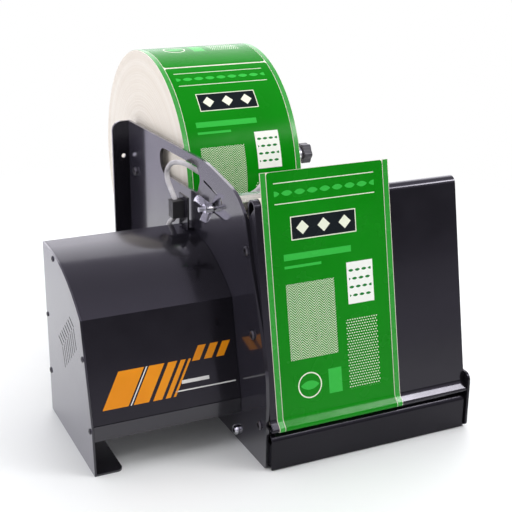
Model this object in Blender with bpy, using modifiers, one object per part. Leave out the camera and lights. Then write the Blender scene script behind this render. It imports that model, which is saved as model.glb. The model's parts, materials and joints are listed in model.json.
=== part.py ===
# Label dispenser machine: a motor-driven desk machine that peels labels from their liner.
# x runs right along the rollers, y runs to the rear, z runs up from the floor. Metres.
import math

import bmesh
import bpy
from mathutils import Matrix, Vector

MM = 0.001

# Clearances and general sheet sizes
GAP = 0.3 * MM
OVERRUN = 4.0 * MM
SHEET = 2.0 * MM
THIN_SHEET = 1.6 * MM
ARC_STEP = math.radians(15.0)
WIDE_ARC_STEP = math.radians(6.0)
COARSE_STEP = math.radians(45.0)
ROUND_SIDES = 28
SMALL_SIDES = 16
ROLL_SIDES = 72

# Main plate: the tall sheet that carries everything
PLATE_T = 3.2 * MM
PLATE_FRONT_Y = 6.5 * MM
PLATE_KNEE_Z = 90.0 * MM
PLATE_BROW_Y = 55.5 * MM
PLATE_BROW_Z = 232.5 * MM
PLATE_CROWN_Y = 76.0 * MM
PLATE_CROWN_Z = 251.0 * MM
PLATE_PEAK_Y = 150.0 * MM
PLATE_PEAK_Z = 263.0 * MM
PLATE_REAR_Z = 256.0 * MM
PLATE_TOE_R = 3.0 * MM
PLATE_KNEE_R = 120.0 * MM
PLATE_BROW_R = 5.0 * MM
PLATE_CROWN_R = 55.0 * MM
PLATE_PEAK_R = 150.0 * MM
REAR_FLANGE_W = 19.5 * MM
REAR_FLANGE_R = 11.0 * MM
REAR_HOLE_R = 2.6 * MM
REAR_HOLE_INSET = 10.0 * MM
REAR_HOLE_SHARES = (0.46, 0.84)

# Window in the main plate, as shares of the plate's depth and height, and its corner radii
WINDOW_SHARES = (
    (0.727, 0.948),
    (0.446, 0.962),
    (0.424, 0.918),
    (0.444, 0.859),
    (0.522, 0.850),
    (0.717, 0.842),
)
WINDOW_R = 6.0 * MM
WINDOW_REAR_R = 17.0 * MM

# Slide plate: the leaning sheet, its nose at the foot and the bend along its top
SLIDE_LEAN = math.radians(11.2)
SLIDE_Y = 4.8 * MM
SLIDE_Z = 52.0 * MM
SLIDE_W = 215.0 * MM
NOSE_R = 2.5 * MM
NOSE_Y = 0.7 * MM
NOSE_Z = 42.5 * MM
NOSE_LIP = 9.0 * MM
RAMP_RISE = math.radians(44.0)
RAMP_R = 8.0 * MM
FOLD_R = 7.5 * MM
FOLD_Z = 245.0 * MM
FOLD_RETURN = 15.0 * MM
SLIDE_FLANGE_W = 30.0 * MM
SLIDE_FLANGE_DROP = 21.0 * MM
SLIDE_SCREW_INSET = 17.0 * MM
SLIDE_SCREW_LOW_Z = 43.5 * MM
SLIDE_SCREW_MID_Z = 128.5 * MM
SLIDE_SCREW_HIGH_Z = 206.0 * MM

# Base pan, its feet and the low right plate
PAN_FRONT_Z = 36.0 * MM
PAN_FRONT_R = 7.0 * MM
PAN_RETURN = 3.0 * MM
PAN_LIP_Z = 0.8 * MM
PAN_FLOOR_Z = 2.5 * MM
PAN_SIDE_H = 22.0 * MM
PAN_REAR_INSET = 6.0 * MM
FOOT_STRIP_W = 12.0 * MM
FOOT_STRIP_INSET = 8.0 * MM
FOOT_STRIP_END = 16.0 * MM
RIGHT_T = 2.7 * MM
RIGHT_TOP_Z = 59.5 * MM
RIGHT_FRONT = 2.6 * MM
RIGHT_CORNER_R = 8.0 * MM
RIGHT_HIGH_Y = 62.0 * MM
RIGHT_SLOPE_Y = 50.0 * MM
RIGHT_LOW_Z = 36.0 * MM

# Housing at the left
HOUSING_W = 150.0 * MM
HOUSING_REAR_Y = 207.0 * MM
HOUSING_TOE_Y = 58.5 * MM
COVER_FOOT_Y = 62.5 * MM
COVER_FOOT_Z = 49.5 * MM
CREASE_Y = 85.0 * MM
CREASE_Z = 146.0 * MM
COVER_TOP_Z = 184.0 * MM
COVER_R = 154.0 * MM
COVER_HEM = 9.0 * MM
HOUSING_FLOOR_Z = 33.3 * MM
HOUSING_TAB_H = 13.0 * MM
END_FOOT_W = 28.0 * MM
END_FOOT_R = 6.0 * MM
END_REAR_TAB = 12.0 * MM
VENT_COUNT = 8
VENT_W = 1.7 * MM
VENT_Y = 163.0 * MM
VENT_Z = 100.0 * MM
VENT_STEP_Y = 6.2 * MM
VENT_STEP_Z = 5.2 * MM
VENT_UPPER_RUN = 12.0 * MM
VENT_UPPER_DROP = 4.6 * MM
VENT_LOWER_RUN = 6.6 * MM
VENT_LOWER_DROP = 18.0 * MM
VENT_BRIDGE = 2.4 * MM

# Fasteners
SCREW_HEAD_R = 4.4 * MM
SCREW_HEAD_H = 1.8 * MM
SCREW_SHANK_R = 2.0 * MM
SCREW_SHANK_L = 8.0 * MM
SOCKET_R = 2.2 * MM
COVER_SCREW_HEAD_R = 2.8 * MM
COVER_SCREW_HEAD_H = 1.2 * MM
COVER_SCREW_SHANK_R = 1.5 * MM
COVER_SCREW_SHANK_L = 5.5 * MM
COVER_SCREW_LOW_Y = 67.5 * MM
COVER_SCREW_LOW_Z = 47.0 * MM
COVER_SCREW_MID_Z = 109.5 * MM
COVER_SCREW_HIGH_Y = 170.0 * MM
BACK_SCREW_LOW_Z = 49.5 * MM
BACK_SCREW_HIGH_Z = 108.5 * MM
BOLT_HEAD_R = 5.2 * MM
BOLT_HEAD_H = 4.0 * MM
BOLT_Y = 71.0 * MM

# Label stock
WEB_W = 133.5 * MM
WEB_LEFT_X = 10.0 * MM
WEB_T = 0.4 * MM
LABEL_TIP_Z = 275.5 * MM
ROLL_R = 137.0 * MM
CORE_R = 41.0 * MM
CORE_WALL = 3.0 * MM
WASTE_R = 38.0 * MM

# Supply axle and what turns on it
AXLE_Y = 358.0 * MM
AXLE_Z = 201.5 * MM
AXLE_R = 8.0 * MM
AXLE_L = 208.0 * MM
AXLE_MARGIN = 27.0 * MM
AXLE_STUD_R = 3.0 * MM
AXLE_STUD_L = 9.0 * MM
AXLE_SCREW_R = 3.0 * MM
AXLE_SCREW_HEAD_R = 5.0 * MM
AXLE_SCREW_HEAD_H = 3.0 * MM
AXLE_SCREW_REACH = 14.0 * MM
HUB_DISC_R = 48.0 * MM
HUB_DISC_T = 3.0 * MM
HUB_L = 42.0 * MM
DISC_HUB_L = 34.0 * MM
KNOB_R = 12.8 * MM
KNOB_T = 11.0 * MM
KNOB_LOBES = 6
KNOB_SIDES = 48
KNOB_LOBE_DEPTH = 1.9 * MM
KNOB_BOSS_R = 6.5 * MM
KNOB_BOSS_H = 1.2 * MM

# Rear guide roller
GUIDE_BEHIND = 14.0 * MM
GUIDE_Z = 24.0 * MM
GUIDE_R = 8.0 * MM
REAR_ROD_R = 4.0 * MM

# Liner rod, drive roller and pinch roller
ROD_Y = 150.0 * MM
ROD_Z = 205.0 * MM
ROD_R = 3.0 * MM
ROD_SPIGOT_R = 2.0 * MM
ROLLER_L = 195.0 * MM
DRIVE_Z = 124.0 * MM
DRIVE_R = 12.5 * MM
DRIVE_CORE_R = 4.0 * MM
PINCH_R = 10.0 * MM
PINCH_AXLE_R = 3.0 * MM
PINCH_L = 140.0 * MM
PINCH_PIVOT_AHEAD = 14.0 * MM
PINCH_PIVOT_UP = 36.0 * MM
PINCH_EYE_R = 8.0 * MM
PINCH_STUD_R = 4.0 * MM
PINCH_GRIP_L = 26.0 * MM
PINCH_GRIP_R = 6.0 * MM
SPRING_WIRE = 1.2 * MM
SPRING_COIL_R = 6.2 * MM
SPRING_PITCH = 1.9 * MM
SPRING_TURNS = 4
SPRING_STEP = math.radians(30.0)

# Take-up
TAKEUP_Z = 74.0 * MM
TAKEUP_BEHIND = 14.0 * MM
TAKEUP_R = 6.0 * MM
TAKEUP_L = 205.0 * MM

# Pulleys, belt, bushes, motor
DRIVE_PULLEY_R = 8.0 * MM
TAKEUP_PULLEY_R = 24.0 * MM
PULLEY_W = 6.0 * MM
PULLEY_RIM_T = 1.2 * MM
PULLEY_RIM_H = 1.8 * MM
PULLEY_X = -14.0 * MM
BELT_T = 1.2 * MM
BELT_SIDE_GAP = 0.5 * MM
BUSH_R = 9.0 * MM
BUSH_FLANGE_R = 13.0 * MM
BUSH_FLANGE_T = 1.5 * MM
GEARBOX_R = 28.0 * MM
GEARBOX_L = 40.0 * MM
GEARBOX_BORE_L = 14.0 * MM
MOTOR_R = 24.0 * MM
MOTOR_CLEAR_X = 23.9 * MM
MOTOR_CAP_R = 9.0 * MM
MOTOR_CAP_L = 4.0 * MM
MOTOR_CHAMFER = 2.0 * MM
BRACKET_R = 31.0 * MM
BRACKET_POST_R = 3.0 * MM
BRACKET_POST_RING = 27.0 * MM

# Electronics
BOARD_D = 84.0 * MM
BOARD_T = 1.6 * MM
BOARD_LIFT = 7.0 * MM
BOARD_FRONT_Y = 108.0 * MM
BOARD_CLEAR_X = 6.0 * MM
BOARD_SUPPLY_GAP = 13.7 * MM
BOARD_POST_R = 3.0 * MM
BOARD_POST_INSET = 6.0 * MM
BOARD_PART_H = 11.0 * MM
BOARD_PART_SHARE = 0.36
SUPPLY_W = 34.0 * MM
SUPPLY_D = 46.0 * MM
SUPPLY_H = 34.0 * MM
SUPPLY_RIGHT_X = -24.0 * MM
SUPPLY_CLEAR_Y = 4.0 * MM
SUPPLY_TERMINAL = 7.0 * MM

# Back panel fittings
INLET_MARGIN = 14.0 * MM
PANEL_LOW_Z = 62.0 * MM
PANEL_HIGH_Z = 128.0 * MM
INLET_W = 48.0 * MM
INLET_H = 24.0 * MM
INLET_BODY_W = 27.0 * MM
INLET_BODY_H = 19.0 * MM
INLET_DEPTH = 20.0 * MM
INLET_SOCKET_W = 21.0 * MM
INLET_SOCKET_H = 13.0 * MM
INLET_SOCKET_DEPTH = 15.0 * MM
PANEL_LIP_T = 2.4 * MM
SWITCH_MARGIN = 3.5 * MM
SWITCH_W = 15.0 * MM
SWITCH_H = 21.0 * MM
SWITCH_WALL = 2.2 * MM
SWITCH_DEPTH = 14.0 * MM
ROCKER_TILT = math.radians(8.0)
ROCKER_SIDE_GAP = 0.5 * MM
ROCKER_DEEP = 4.0 * MM
ROCKER_PROUD = 3.4 * MM
ROCKER_SHARE = 0.8
SPEED_OFFSET = 4.0 * MM
SPEED_R = 11.0 * MM
SPEED_H = 13.0 * MM
SPEED_GRIP_R = 9.6 * MM
SPEED_SKIRT_H = 3.0 * MM
SPEED_SHAFT_R = 3.0 * MM
SPEED_SHAFT_L = 9.0 * MM
BUTTON_R = 7.0 * MM
BUTTON_PROUD = 6.0 * MM
BUTTON_STEM_R = 4.0 * MM
BUTTON_STEM_L = 8.0 * MM
BUTTON_LIFT = 2.8 * MM
BUTTON_EDGE = 1.2 * MM

# Sensor, its slot and its cable
STUD_Y = 133.5 * MM
STUD_Z = 220.5 * MM
STUD_R = 2.5 * MM
STUD_L = 14.0 * MM
SLOT_W = 8.0 * MM
SLOT_RISE = math.radians(31.0)
SLOT_BACK = 8.0 * MM
SENSOR_TRAVEL = 20.0 * MM
SLIT_W = 2.2 * MM
SLIT_REAR_SHARES = (0.398, 0.922)
SLIT_FRONT_SHARES = (0.316, 0.903)
ARM_T = 2.0 * MM
ARM_W = 14.0 * MM
ARM_REAR_Y = 168.0 * MM
ARM_REAR_Z = 244.0 * MM
BAR_Y = 121.0 * MM
BAR_Z = 226.5 * MM
BAR_D = 8.0 * MM
BAR_H = 7.0 * MM
BAR_L = 66.0 * MM
HEAD_W = 18.0 * MM
HEAD_H = 12.0 * MM
HEAD_D = 13.0 * MM
WING_HUB_R = 5.2 * MM
WING_HUB_L = 8.0 * MM
WING_SPAN = 14.5 * MM
WING_T = 2.4 * MM
WING_W = 8.5 * MM
WING_LEAN = math.radians(38.0)
WING_TURN = math.radians(45.0)
CABLE_D = 5.2 * MM
CLAMP_X = -14.0 * MM
CLAMP_Y = 194.0 * MM
CLAMP_Z = 205.0 * MM
CLAMP_W = 12.0 * MM
CLAMP_H = 18.0 * MM
CABLE_BRACKET_LOW_Z = 185.5 * MM
CABLE_BRACKET_HIGH_Z = 219.0 * MM
CABLE_BRACKET_REAR_Y = 203.0 * MM
CABLE_BRACKET_FRONT_Y = 179.0 * MM
GLAND_Z = 152.0 * MM
GLAND_R = 6.5 * MM
GLAND_L = 9.0 * MM

# Places worked out from the sizes above
PLATE_REAR_Y = AXLE_Y + AXLE_MARGIN
INNER_X = PLATE_T + GAP
SLIDE_RIGHT_X = INNER_X + SLIDE_W
RIGHT_X = SLIDE_RIGHT_X + GAP
PAN_REAR_Y = PLATE_REAR_Y - PAN_REAR_INSET
LINER_Y = ROD_Y + ROD_R + GAP + WEB_T / 2
DRIVE_Y = LINER_Y - WEB_T / 2 - GAP - DRIVE_R
PINCH_Y = LINER_Y + WEB_T / 2 + GAP + PINCH_R
PIVOT_Y = PINCH_Y - PINCH_PIVOT_AHEAD
PIVOT_Z = DRIVE_Z + PINCH_PIVOT_UP
TAKEUP_Y = PINCH_Y + TAKEUP_BEHIND
GUIDE_Y = AXLE_Y + GUIDE_BEHIND
KNOB_X = INNER_X + AXLE_L
CAP_X = -HOUSING_W
HOUSING_INNER_X = -HOUSING_W + SHEET + GAP
PANEL_Y = HOUSING_REAR_Y - THIN_SHEET
INLET_X = CAP_X + INLET_MARGIN + INLET_W / 2
SWITCH_X = INLET_X + INLET_W / 2 + SWITCH_MARGIN + SWITCH_W / 2
SPEED_X = INLET_X + SPEED_OFFSET
BUTTON_X = SWITCH_X
BACK_FACE_Y = HOUSING_REAR_Y
PULLEY_CENTRE_X = PULLEY_X + PULLEY_W / 2
BRACKET_X = PULLEY_X - PULLEY_RIM_T - GAP - SHEET
GEARBOX_X = BRACKET_X - GAP
MOTOR_L = GEARBOX_X - GEARBOX_L - MOTOR_CAP_L - HOUSING_INNER_X - MOTOR_CLEAR_X
BOARD_LEFT_X = HOUSING_INNER_X + BOARD_CLEAR_X
BOARD_W = SUPPLY_RIGHT_X - SUPPLY_W - BOARD_SUPPLY_GAP - BOARD_LEFT_X
LEFT_END_X = -HOUSING_W - COVER_SCREW_HEAD_H
RIGHT_END_X = KNOB_X + GAP + KNOB_T + KNOB_BOSS_H
FRONT_END_Y = -RIGHT_FRONT
REAR_END_Y = AXLE_Y + ROLL_R
CENTRE = Vector(((LEFT_END_X + RIGHT_END_X) / 2, (FRONT_END_Y + REAR_END_Y) / 2, 0.0))

# Colours, roughness and metal share of each material
MATERIALS = {
    "black_paint": ((0.012, 0.011, 0.014, 1.0), 0.22, 0.0),
    "black_plastic": ((0.015, 0.015, 0.016, 1.0), 0.45, 0.0),
    "black_rubber": ((0.012, 0.012, 0.012, 1.0), 0.80, 0.0),
    "steel": ((0.55, 0.55, 0.56, 1.0), 0.30, 1.0),
    "brass": ((0.60, 0.44, 0.18, 1.0), 0.35, 1.0),
    "aluminium": ((0.62, 0.63, 0.64, 1.0), 0.38, 1.0),
    "label_green": ((0.010, 0.215, 0.020, 1.0), 0.30, 0.0),
    "paper": ((0.90, 0.84, 0.75, 1.0), 0.70, 0.0),
    "liner": ((0.86, 0.83, 0.76, 1.0), 0.40, 0.0),
    "cardboard": ((0.46, 0.33, 0.20, 1.0), 0.85, 0.0),
    "cable_grey": ((0.40, 0.40, 0.43, 1.0), 0.50, 0.0),
    "board_green": ((0.02, 0.16, 0.05, 1.0), 0.50, 0.0),
    "red_plastic": ((0.45, 0.02, 0.02, 1.0), 0.35, 0.0),
}

# Axis swaps for shapes that are drawn flat or turned about their own z
FLAT_TO_SIDE = Matrix(((0, 0, 1, 0), (1, 0, 0, 0), (0, 1, 0, 0), (0, 0, 0, 1)))
TO_RIGHT = (0.0, math.pi / 2, 0.0)
TO_LEFT = (0.0, -math.pi / 2, 0.0)
TO_REAR = (-math.pi / 2, 0.0, 0.0)


# Scene, bodies and materials
def clear_scene():
    for obj in list(bpy.data.objects):
        bpy.data.objects.remove(obj)


def new_collection(name):
    collection = bpy.data.collections.new(name)
    bpy.context.scene.collection.children.link(collection)
    return collection


def make_material(name):
    colour, roughness, metallic = MATERIALS[name]
    material = bpy.data.materials.new(name)
    material.use_nodes = True
    shader = material.node_tree.nodes["Principled BSDF"]
    shader.inputs["Base Color"].default_value = colour
    shader.inputs["Roughness"].default_value = roughness
    shader.inputs["Metallic"].default_value = metallic
    return material


def make_body(name, at):
    empty = bpy.data.objects.new(name, None)
    PARTS.objects.link(empty)
    empty["at"] = tuple(at)
    if name == "machine":
        empty.location = -CENTRE
    else:
        empty.parent = MACHINE
        empty.location = at
    return empty


def place(obj, at, body=None):
    body = body or MACHINE
    obj.parent = body
    obj.location = Vector(at) - Vector(body["at"])
    return obj


def add_part(name, mesh, material, at=(0.0, 0.0, 0.0), body=None, turn=(0.0, 0.0, 0.0)):
    obj = bpy.data.objects.new(name, mesh)
    PARTS.objects.link(obj)
    mesh.materials.clear()
    mesh.materials.append(bpy.data.materials[material])
    obj.rotation_euler = turn
    return place(obj, at, body)


def add_tool(mesh, at=(0.0, 0.0, 0.0), turn=(0.0, 0.0, 0.0)):
    obj = bpy.data.objects.new("tool", mesh)
    TOOLS.objects.link(obj)
    obj.rotation_euler = turn
    obj.hide_render = True
    obj.display_type = "WIRE"
    return place(obj, at)


def combine(obj, tool, operation):
    modifier = obj.modifiers.new(operation.lower(), "BOOLEAN")
    modifier.operation = operation
    modifier.solver = "EXACT"
    modifier.object = tool
    return obj


def cut(obj, tool):
    return combine(obj, tool, "DIFFERENCE")


def join(obj, tool):
    return combine(obj, tool, "UNION")


def smooth(mesh, angle=math.radians(35.0)):
    mesh.shade_smooth()
    mesh.set_sharp_from_angle(angle=angle)
    return mesh


# Plane geometry
def arc(centre, radius, start, end, step=ARC_STEP):
    steps = max(2, math.ceil(abs(end - start) / step))
    angles = [start + (end - start) * i / steps for i in range(steps + 1)]
    return [(centre[0] + radius * math.cos(a), centre[1] + radius * math.sin(a)) for a in angles]


def circle(centre, radius, sides=ROUND_SIDES):
    angles = [2 * math.pi * i / sides for i in range(sides)]
    return [(centre[0] + radius * math.cos(a), centre[1] + radius * math.sin(a)) for a in angles]


def rounded(corners):
    # each corner is (u, v, radius); a radius of zero leaves it sharp
    points = []
    count = len(corners)
    for i, (u, v, radius) in enumerate(corners):
        here = Vector((u, v))
        back = (Vector(corners[i - 1][:2]) - here)
        ahead = (Vector(corners[(i + 1) % count][:2]) - here)
        turn = math.pi - back.angle(ahead)
        if radius == 0.0 or turn < 0.01:
            points.append((u, v))
            continue
        reach = min(radius * math.tan(turn / 2), 0.49 * back.length, 0.49 * ahead.length)
        bend = reach / math.tan(turn / 2)
        bisector = (back.normalized() + ahead.normalized()).normalized()
        centre = here + bisector * math.hypot(bend, reach)
        start = here + back.normalized() * reach - centre
        end = here + ahead.normalized() * reach - centre
        first = math.atan2(start.y, start.x)
        sweep = math.remainder(math.atan2(end.y, end.x) - first, 2 * math.pi)
        points += arc(centre, bend, first, first + sweep)
    return points


def offset_path(path, distance):
    # a positive distance moves the path to its right
    moved = []
    for i, point in enumerate(path):
        normals = []
        for a, b in ((i - 1, i), (i, i + 1)):
            if a >= 0 and b < len(path):
                run = Vector(path[b]) - Vector(path[a])
                normals.append(Vector((run.y, -run.x)).normalized())
        mean = sum(normals, Vector((0.0, 0.0))).normalized()
        moved.append(tuple(Vector(point) + mean * distance / mean.dot(normals[0])))
    return moved


def strip(path, left, right):
    return offset_path(path, right) + list(reversed(offset_path(path, -left)))


def tangent(centre_a, radius_a, centre_b, radius_b):
    # angle of the touching normal for a band that runs from a to b with both wheels on its right
    run = Vector(centre_b) - Vector(centre_a)
    swing = math.acos((radius_a - radius_b) / run.length)
    return math.atan2(run.y, run.x) + swing


def on_circle(centre, radius, angle):
    return (centre[0] + radius * math.cos(angle), centre[1] + radius * math.sin(angle))


def stadium(start, end, width, step=ARC_STEP):
    along = math.atan2(end[1] - start[1], end[0] - start[0])
    half = math.pi / 2
    near = arc(start, width / 2, along + half, along + 3 * half, step)
    return arc(end, width / 2, along - half, along + half, step) + near


# Solids
def flat_mesh(loops, thickness):
    curve = bpy.data.curves.new("outline", "CURVE")
    curve.dimensions = "2D"
    curve.fill_mode = "BOTH"
    curve.extrude = thickness / 2
    for loop in loops:
        spline = curve.splines.new("POLY")
        spline.points.add(len(loop) - 1)
        for point, (u, v) in zip(spline.points, loop):
            point.co = (u, v, 0.0, 1.0)
        spline.use_cyclic_u = True
    return solid_mesh(bpy.data.objects.new("outline", curve))


def solid_mesh(guide):
    # the closed mesh of a curve, which is then removed
    TOOLS.objects.link(guide)
    mesh = bpy.data.meshes.new_from_object(guide.evaluated_get(bpy.context.evaluated_depsgraph_get()))
    bpy.data.objects.remove(guide)
    bm = bmesh.new()
    bm.from_mesh(mesh)
    bmesh.ops.remove_doubles(bm, verts=bm.verts, dist=GAP / 100)
    bmesh.ops.recalc_face_normals(bm, faces=bm.faces)
    bm.to_mesh(mesh)
    bm.free()
    return mesh


def side_mesh(loops, thickness):
    # an outline in y and z, with its thickness along x
    mesh = flat_mesh(loops, thickness)
    mesh.transform(FLAT_TO_SIDE)
    return mesh


def box_mesh(size):
    mesh = bpy.data.meshes.new("box")
    bm = bmesh.new()
    bmesh.ops.create_cube(bm, size=1.0, matrix=Matrix.Diagonal((*size, 1.0)))
    bm.to_mesh(mesh)
    bm.free()
    return mesh


def cylinder_mesh(radius, length, sides=ROUND_SIDES):
    mesh = bpy.data.meshes.new("cylinder")
    bm = bmesh.new()
    bmesh.ops.create_cone(bm, cap_ends=True, segments=sides, radius1=radius, radius2=radius, depth=length)
    bm.to_mesh(mesh)
    bm.free()
    return smooth(mesh)


def turned(name, profile, material, at, body=None, turn=TO_RIGHT, sides=ROUND_SIDES, bored=False):
    # profile points are (radius, height), from the top down the outer side
    mesh = bpy.data.meshes.new(name)
    bm = bmesh.new()
    rim = [bm.verts.new((radius, 0.0, height)) for radius, height in profile]
    for first, second in zip(rim, rim[1:]):
        bm.edges.new((first, second))
    if bored:
        bm.edges.new((rim[-1], rim[0]))
    bm.to_mesh(mesh)
    bm.free()
    obj = add_part(name, mesh, material, at, body, turn)
    screw = obj.modifiers.new("turn", "SCREW")
    screw.steps = sides
    screw.render_steps = sides
    screw.use_merge_vertices = True
    screw.merge_threshold = GAP / 100
    screw.use_smooth_shade = True
    return obj


def span_box(low, high):
    size = [b - a for a, b in zip(low, high)]
    centre = [(a + b) / 2 for a, b in zip(low, high)]
    return box_mesh(size), centre


def block(name, low, high, material, body=None):
    mesh, centre = span_box(low, high)
    return add_part(name, mesh, material, centre, body)


def box_tool(low, high):
    mesh, centre = span_box(low, high)
    return add_tool(mesh, centre)


def bar_tool(centre_yz, radius, x_low, x_high, sides=ROUND_SIDES):
    mesh = cylinder_mesh(radius, x_high - x_low, sides)
    return add_tool(mesh, ((x_low + x_high) / 2, *centre_yz), TO_RIGHT)


def deep_tool(centre_xz, radius, y_low, y_high, sides=SMALL_SIDES):
    mesh = cylinder_mesh(radius, y_high - y_low, sides)
    return add_tool(mesh, (centre_xz[0], (y_low + y_high) / 2, centre_xz[1]), TO_REAR)


def sheet(name, loops, x_low, thickness, material, body=None):
    return add_part(name, side_mesh(loops, thickness), material, (x_low + thickness / 2, 0.0, 0.0), body)


def screw_part(name, at, turn, head_r, head_h, shank_r, shank_l, material="steel", socket=0.0, dome=True):
    # the head stands on the plane through its place, and the shank runs back from it
    profile = [(0.0, head_h)]
    if socket:
        profile = [(0.0, head_h / 3), (socket, head_h / 3), (socket, head_h)]
    if dome:
        profile += [(0.72 * head_r, head_h), (head_r, 0.45 * head_h)]
    else:
        profile += [(head_r, head_h)]
    profile += [(head_r, 0.0), (shank_r, 0.0), (shank_r, -shank_l), (0.0, -shank_l)]
    return turned(name, profile, material, at, turn=turn, sides=SMALL_SIDES)


# The slide's front surface, at a distance from the sheet
def slide_point(z):
    return Vector((SLIDE_Y + (z - SLIDE_Z) * math.tan(SLIDE_LEAN), z))


SLIDE_UP = Vector((math.sin(SLIDE_LEAN), math.cos(SLIDE_LEAN)))
SLIDE_OUT = Vector((-math.cos(SLIDE_LEAN), math.sin(SLIDE_LEAN)))
RAMP_OUT = Vector((-math.sin(RAMP_RISE), math.cos(RAMP_RISE)))
NOSE = Vector((NOSE_Y, NOSE_Z))
NOSE_END = math.pi / 2 + RAMP_RISE
FOLD = slide_point(FOLD_Z) - SLIDE_OUT * FOLD_R
FOLD_START = math.pi - SLIDE_LEAN


def ramp_centre():
    # the point that lies RAMP_R in front of both the ramp and the slide's plane
    ramp_reach = RAMP_OUT.dot(NOSE) + NOSE_R + RAMP_R
    plane_reach = SLIDE_OUT.dot(slide_point(SLIDE_Z)) + RAMP_R
    det = RAMP_OUT.x * SLIDE_OUT.y - RAMP_OUT.y * SLIDE_OUT.x
    y = (ramp_reach * SLIDE_OUT.y - plane_reach * RAMP_OUT.y) / det
    z = (RAMP_OUT.x * plane_reach - SLIDE_OUT.x * ramp_reach) / det
    return Vector((y, z))


def slide_front(distance, nose_start):
    # from the nose round to the foot of the plane
    centre = ramp_centre()
    ramp_angle = math.atan2(-RAMP_OUT.y, -RAMP_OUT.x)
    plane_angle = math.atan2(-SLIDE_OUT.y, -SLIDE_OUT.x)
    path = arc(NOSE, NOSE_R + distance, nose_start, NOSE_END)
    path += arc(centre, RAMP_R - distance, ramp_angle, plane_angle)
    return path


def slide_path():
    under = NOSE_Z - NOSE_R
    path = [(NOSE_Y + NOSE_LIP, under)]
    path += slide_front(0.0, 1.5 * math.pi)
    path += arc(FOLD, FOLD_R, FOLD_START, FOLD_START - math.pi)
    end = Vector(path[-1]) - SLIDE_UP * FOLD_RETURN
    return path + [tuple(end)]


def slide_screw_point(z):
    return slide_point(z) - SLIDE_OUT * SLIDE_SCREW_INSET


# Paths of the label web and of the bare liner, along their middle
WEB_OFFSET = GAP + WEB_T / 2
SUPPLY = (AXLE_Y, AXLE_Z)
GUIDE = (GUIDE_Y, GUIDE_Z)
ROD = (ROD_Y, ROD_Z)
TAKEUP = (TAKEUP_Y, TAKEUP_Z)
DRIVE = (DRIVE_Y, DRIVE_Z)
PINCH = (PINCH_Y, DRIVE_Z)
PIVOT = (PIVOT_Y, PIVOT_Z)


def web_path():
    roll_r = ROLL_R + WEB_OFFSET
    guide_r = GUIDE_R + WEB_OFFSET
    nose_r = NOSE_R + WEB_OFFSET
    leave = tangent(SUPPLY, roll_r, GUIDE, guide_r)
    reach = tangent(GUIDE, guide_r, tuple(NOSE), nose_r)
    path = [on_circle(SUPPLY, roll_r, leave)]
    path += arc(GUIDE, guide_r, leave, reach)
    path += slide_front(WEB_OFFSET, reach)
    tip = slide_point(LABEL_TIP_Z) + SLIDE_OUT * WEB_OFFSET
    return path + [tuple(tip)]


def liner_path():
    fold_r = FOLD_R + WEB_OFFSET
    rod_r = ROD_R + WEB_OFFSET
    start = FOLD_START - math.acos(FOLD_R / (FOLD_R + GAP + WEB_T))
    run = Vector(ROD) - FOLD
    over = math.atan2(run.y, run.x) + math.acos((fold_r - rod_r) / run.length)
    path = arc(FOLD, fold_r, start, over)
    path += arc(ROD, rod_r, over, 0.0)
    pinch_r = PINCH_R + WEB_OFFSET
    waste_r = WASTE_R + WEB_OFFSET
    run = Vector(TAKEUP) - Vector(PINCH)
    leave = math.atan2(run.y, run.x) - math.acos((pinch_r + waste_r) / run.length) + 2 * math.pi
    path += arc(PINCH, pinch_r, math.pi, leave)
    return path + [on_circle(TAKEUP, waste_r, leave - math.pi)]


# Fixed sheet metal
def plate_outline():
    return rounded([
        (PLATE_FRONT_Y, 0.0, PLATE_TOE_R),
        (PLATE_FRONT_Y, PLATE_KNEE_Z, PLATE_KNEE_R),
        (PLATE_BROW_Y, PLATE_BROW_Z, PLATE_BROW_R),
        (PLATE_CROWN_Y, PLATE_CROWN_Z, PLATE_CROWN_R),
        (PLATE_PEAK_Y, PLATE_PEAK_Z, PLATE_PEAK_R),
        (PLATE_REAR_Y, PLATE_REAR_Z, 0.0),
        (PLATE_REAR_Y, 0.0, 0.0),
    ])


def window_outline():
    radii = [WINDOW_REAR_R, WINDOW_R, WINDOW_R, WINDOW_R, WINDOW_R, WINDOW_REAR_R]
    corners = [(PLATE_REAR_Y * u, PLATE_PEAK_Z * v, r) for (u, v), r in zip(WINDOW_SHARES, radii)]
    return rounded(corners)


def slot_point(run):
    return (STUD_Y - run * math.cos(SLOT_RISE), STUD_Z + run * math.sin(SLOT_RISE))


def slit_outline():
    ends = [(PLATE_REAR_Y * u, PLATE_PEAK_Z * v) for u, v in (SLIT_REAR_SHARES, SLIT_FRONT_SHARES)]
    return stadium(*ends, SLIT_W)


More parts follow.
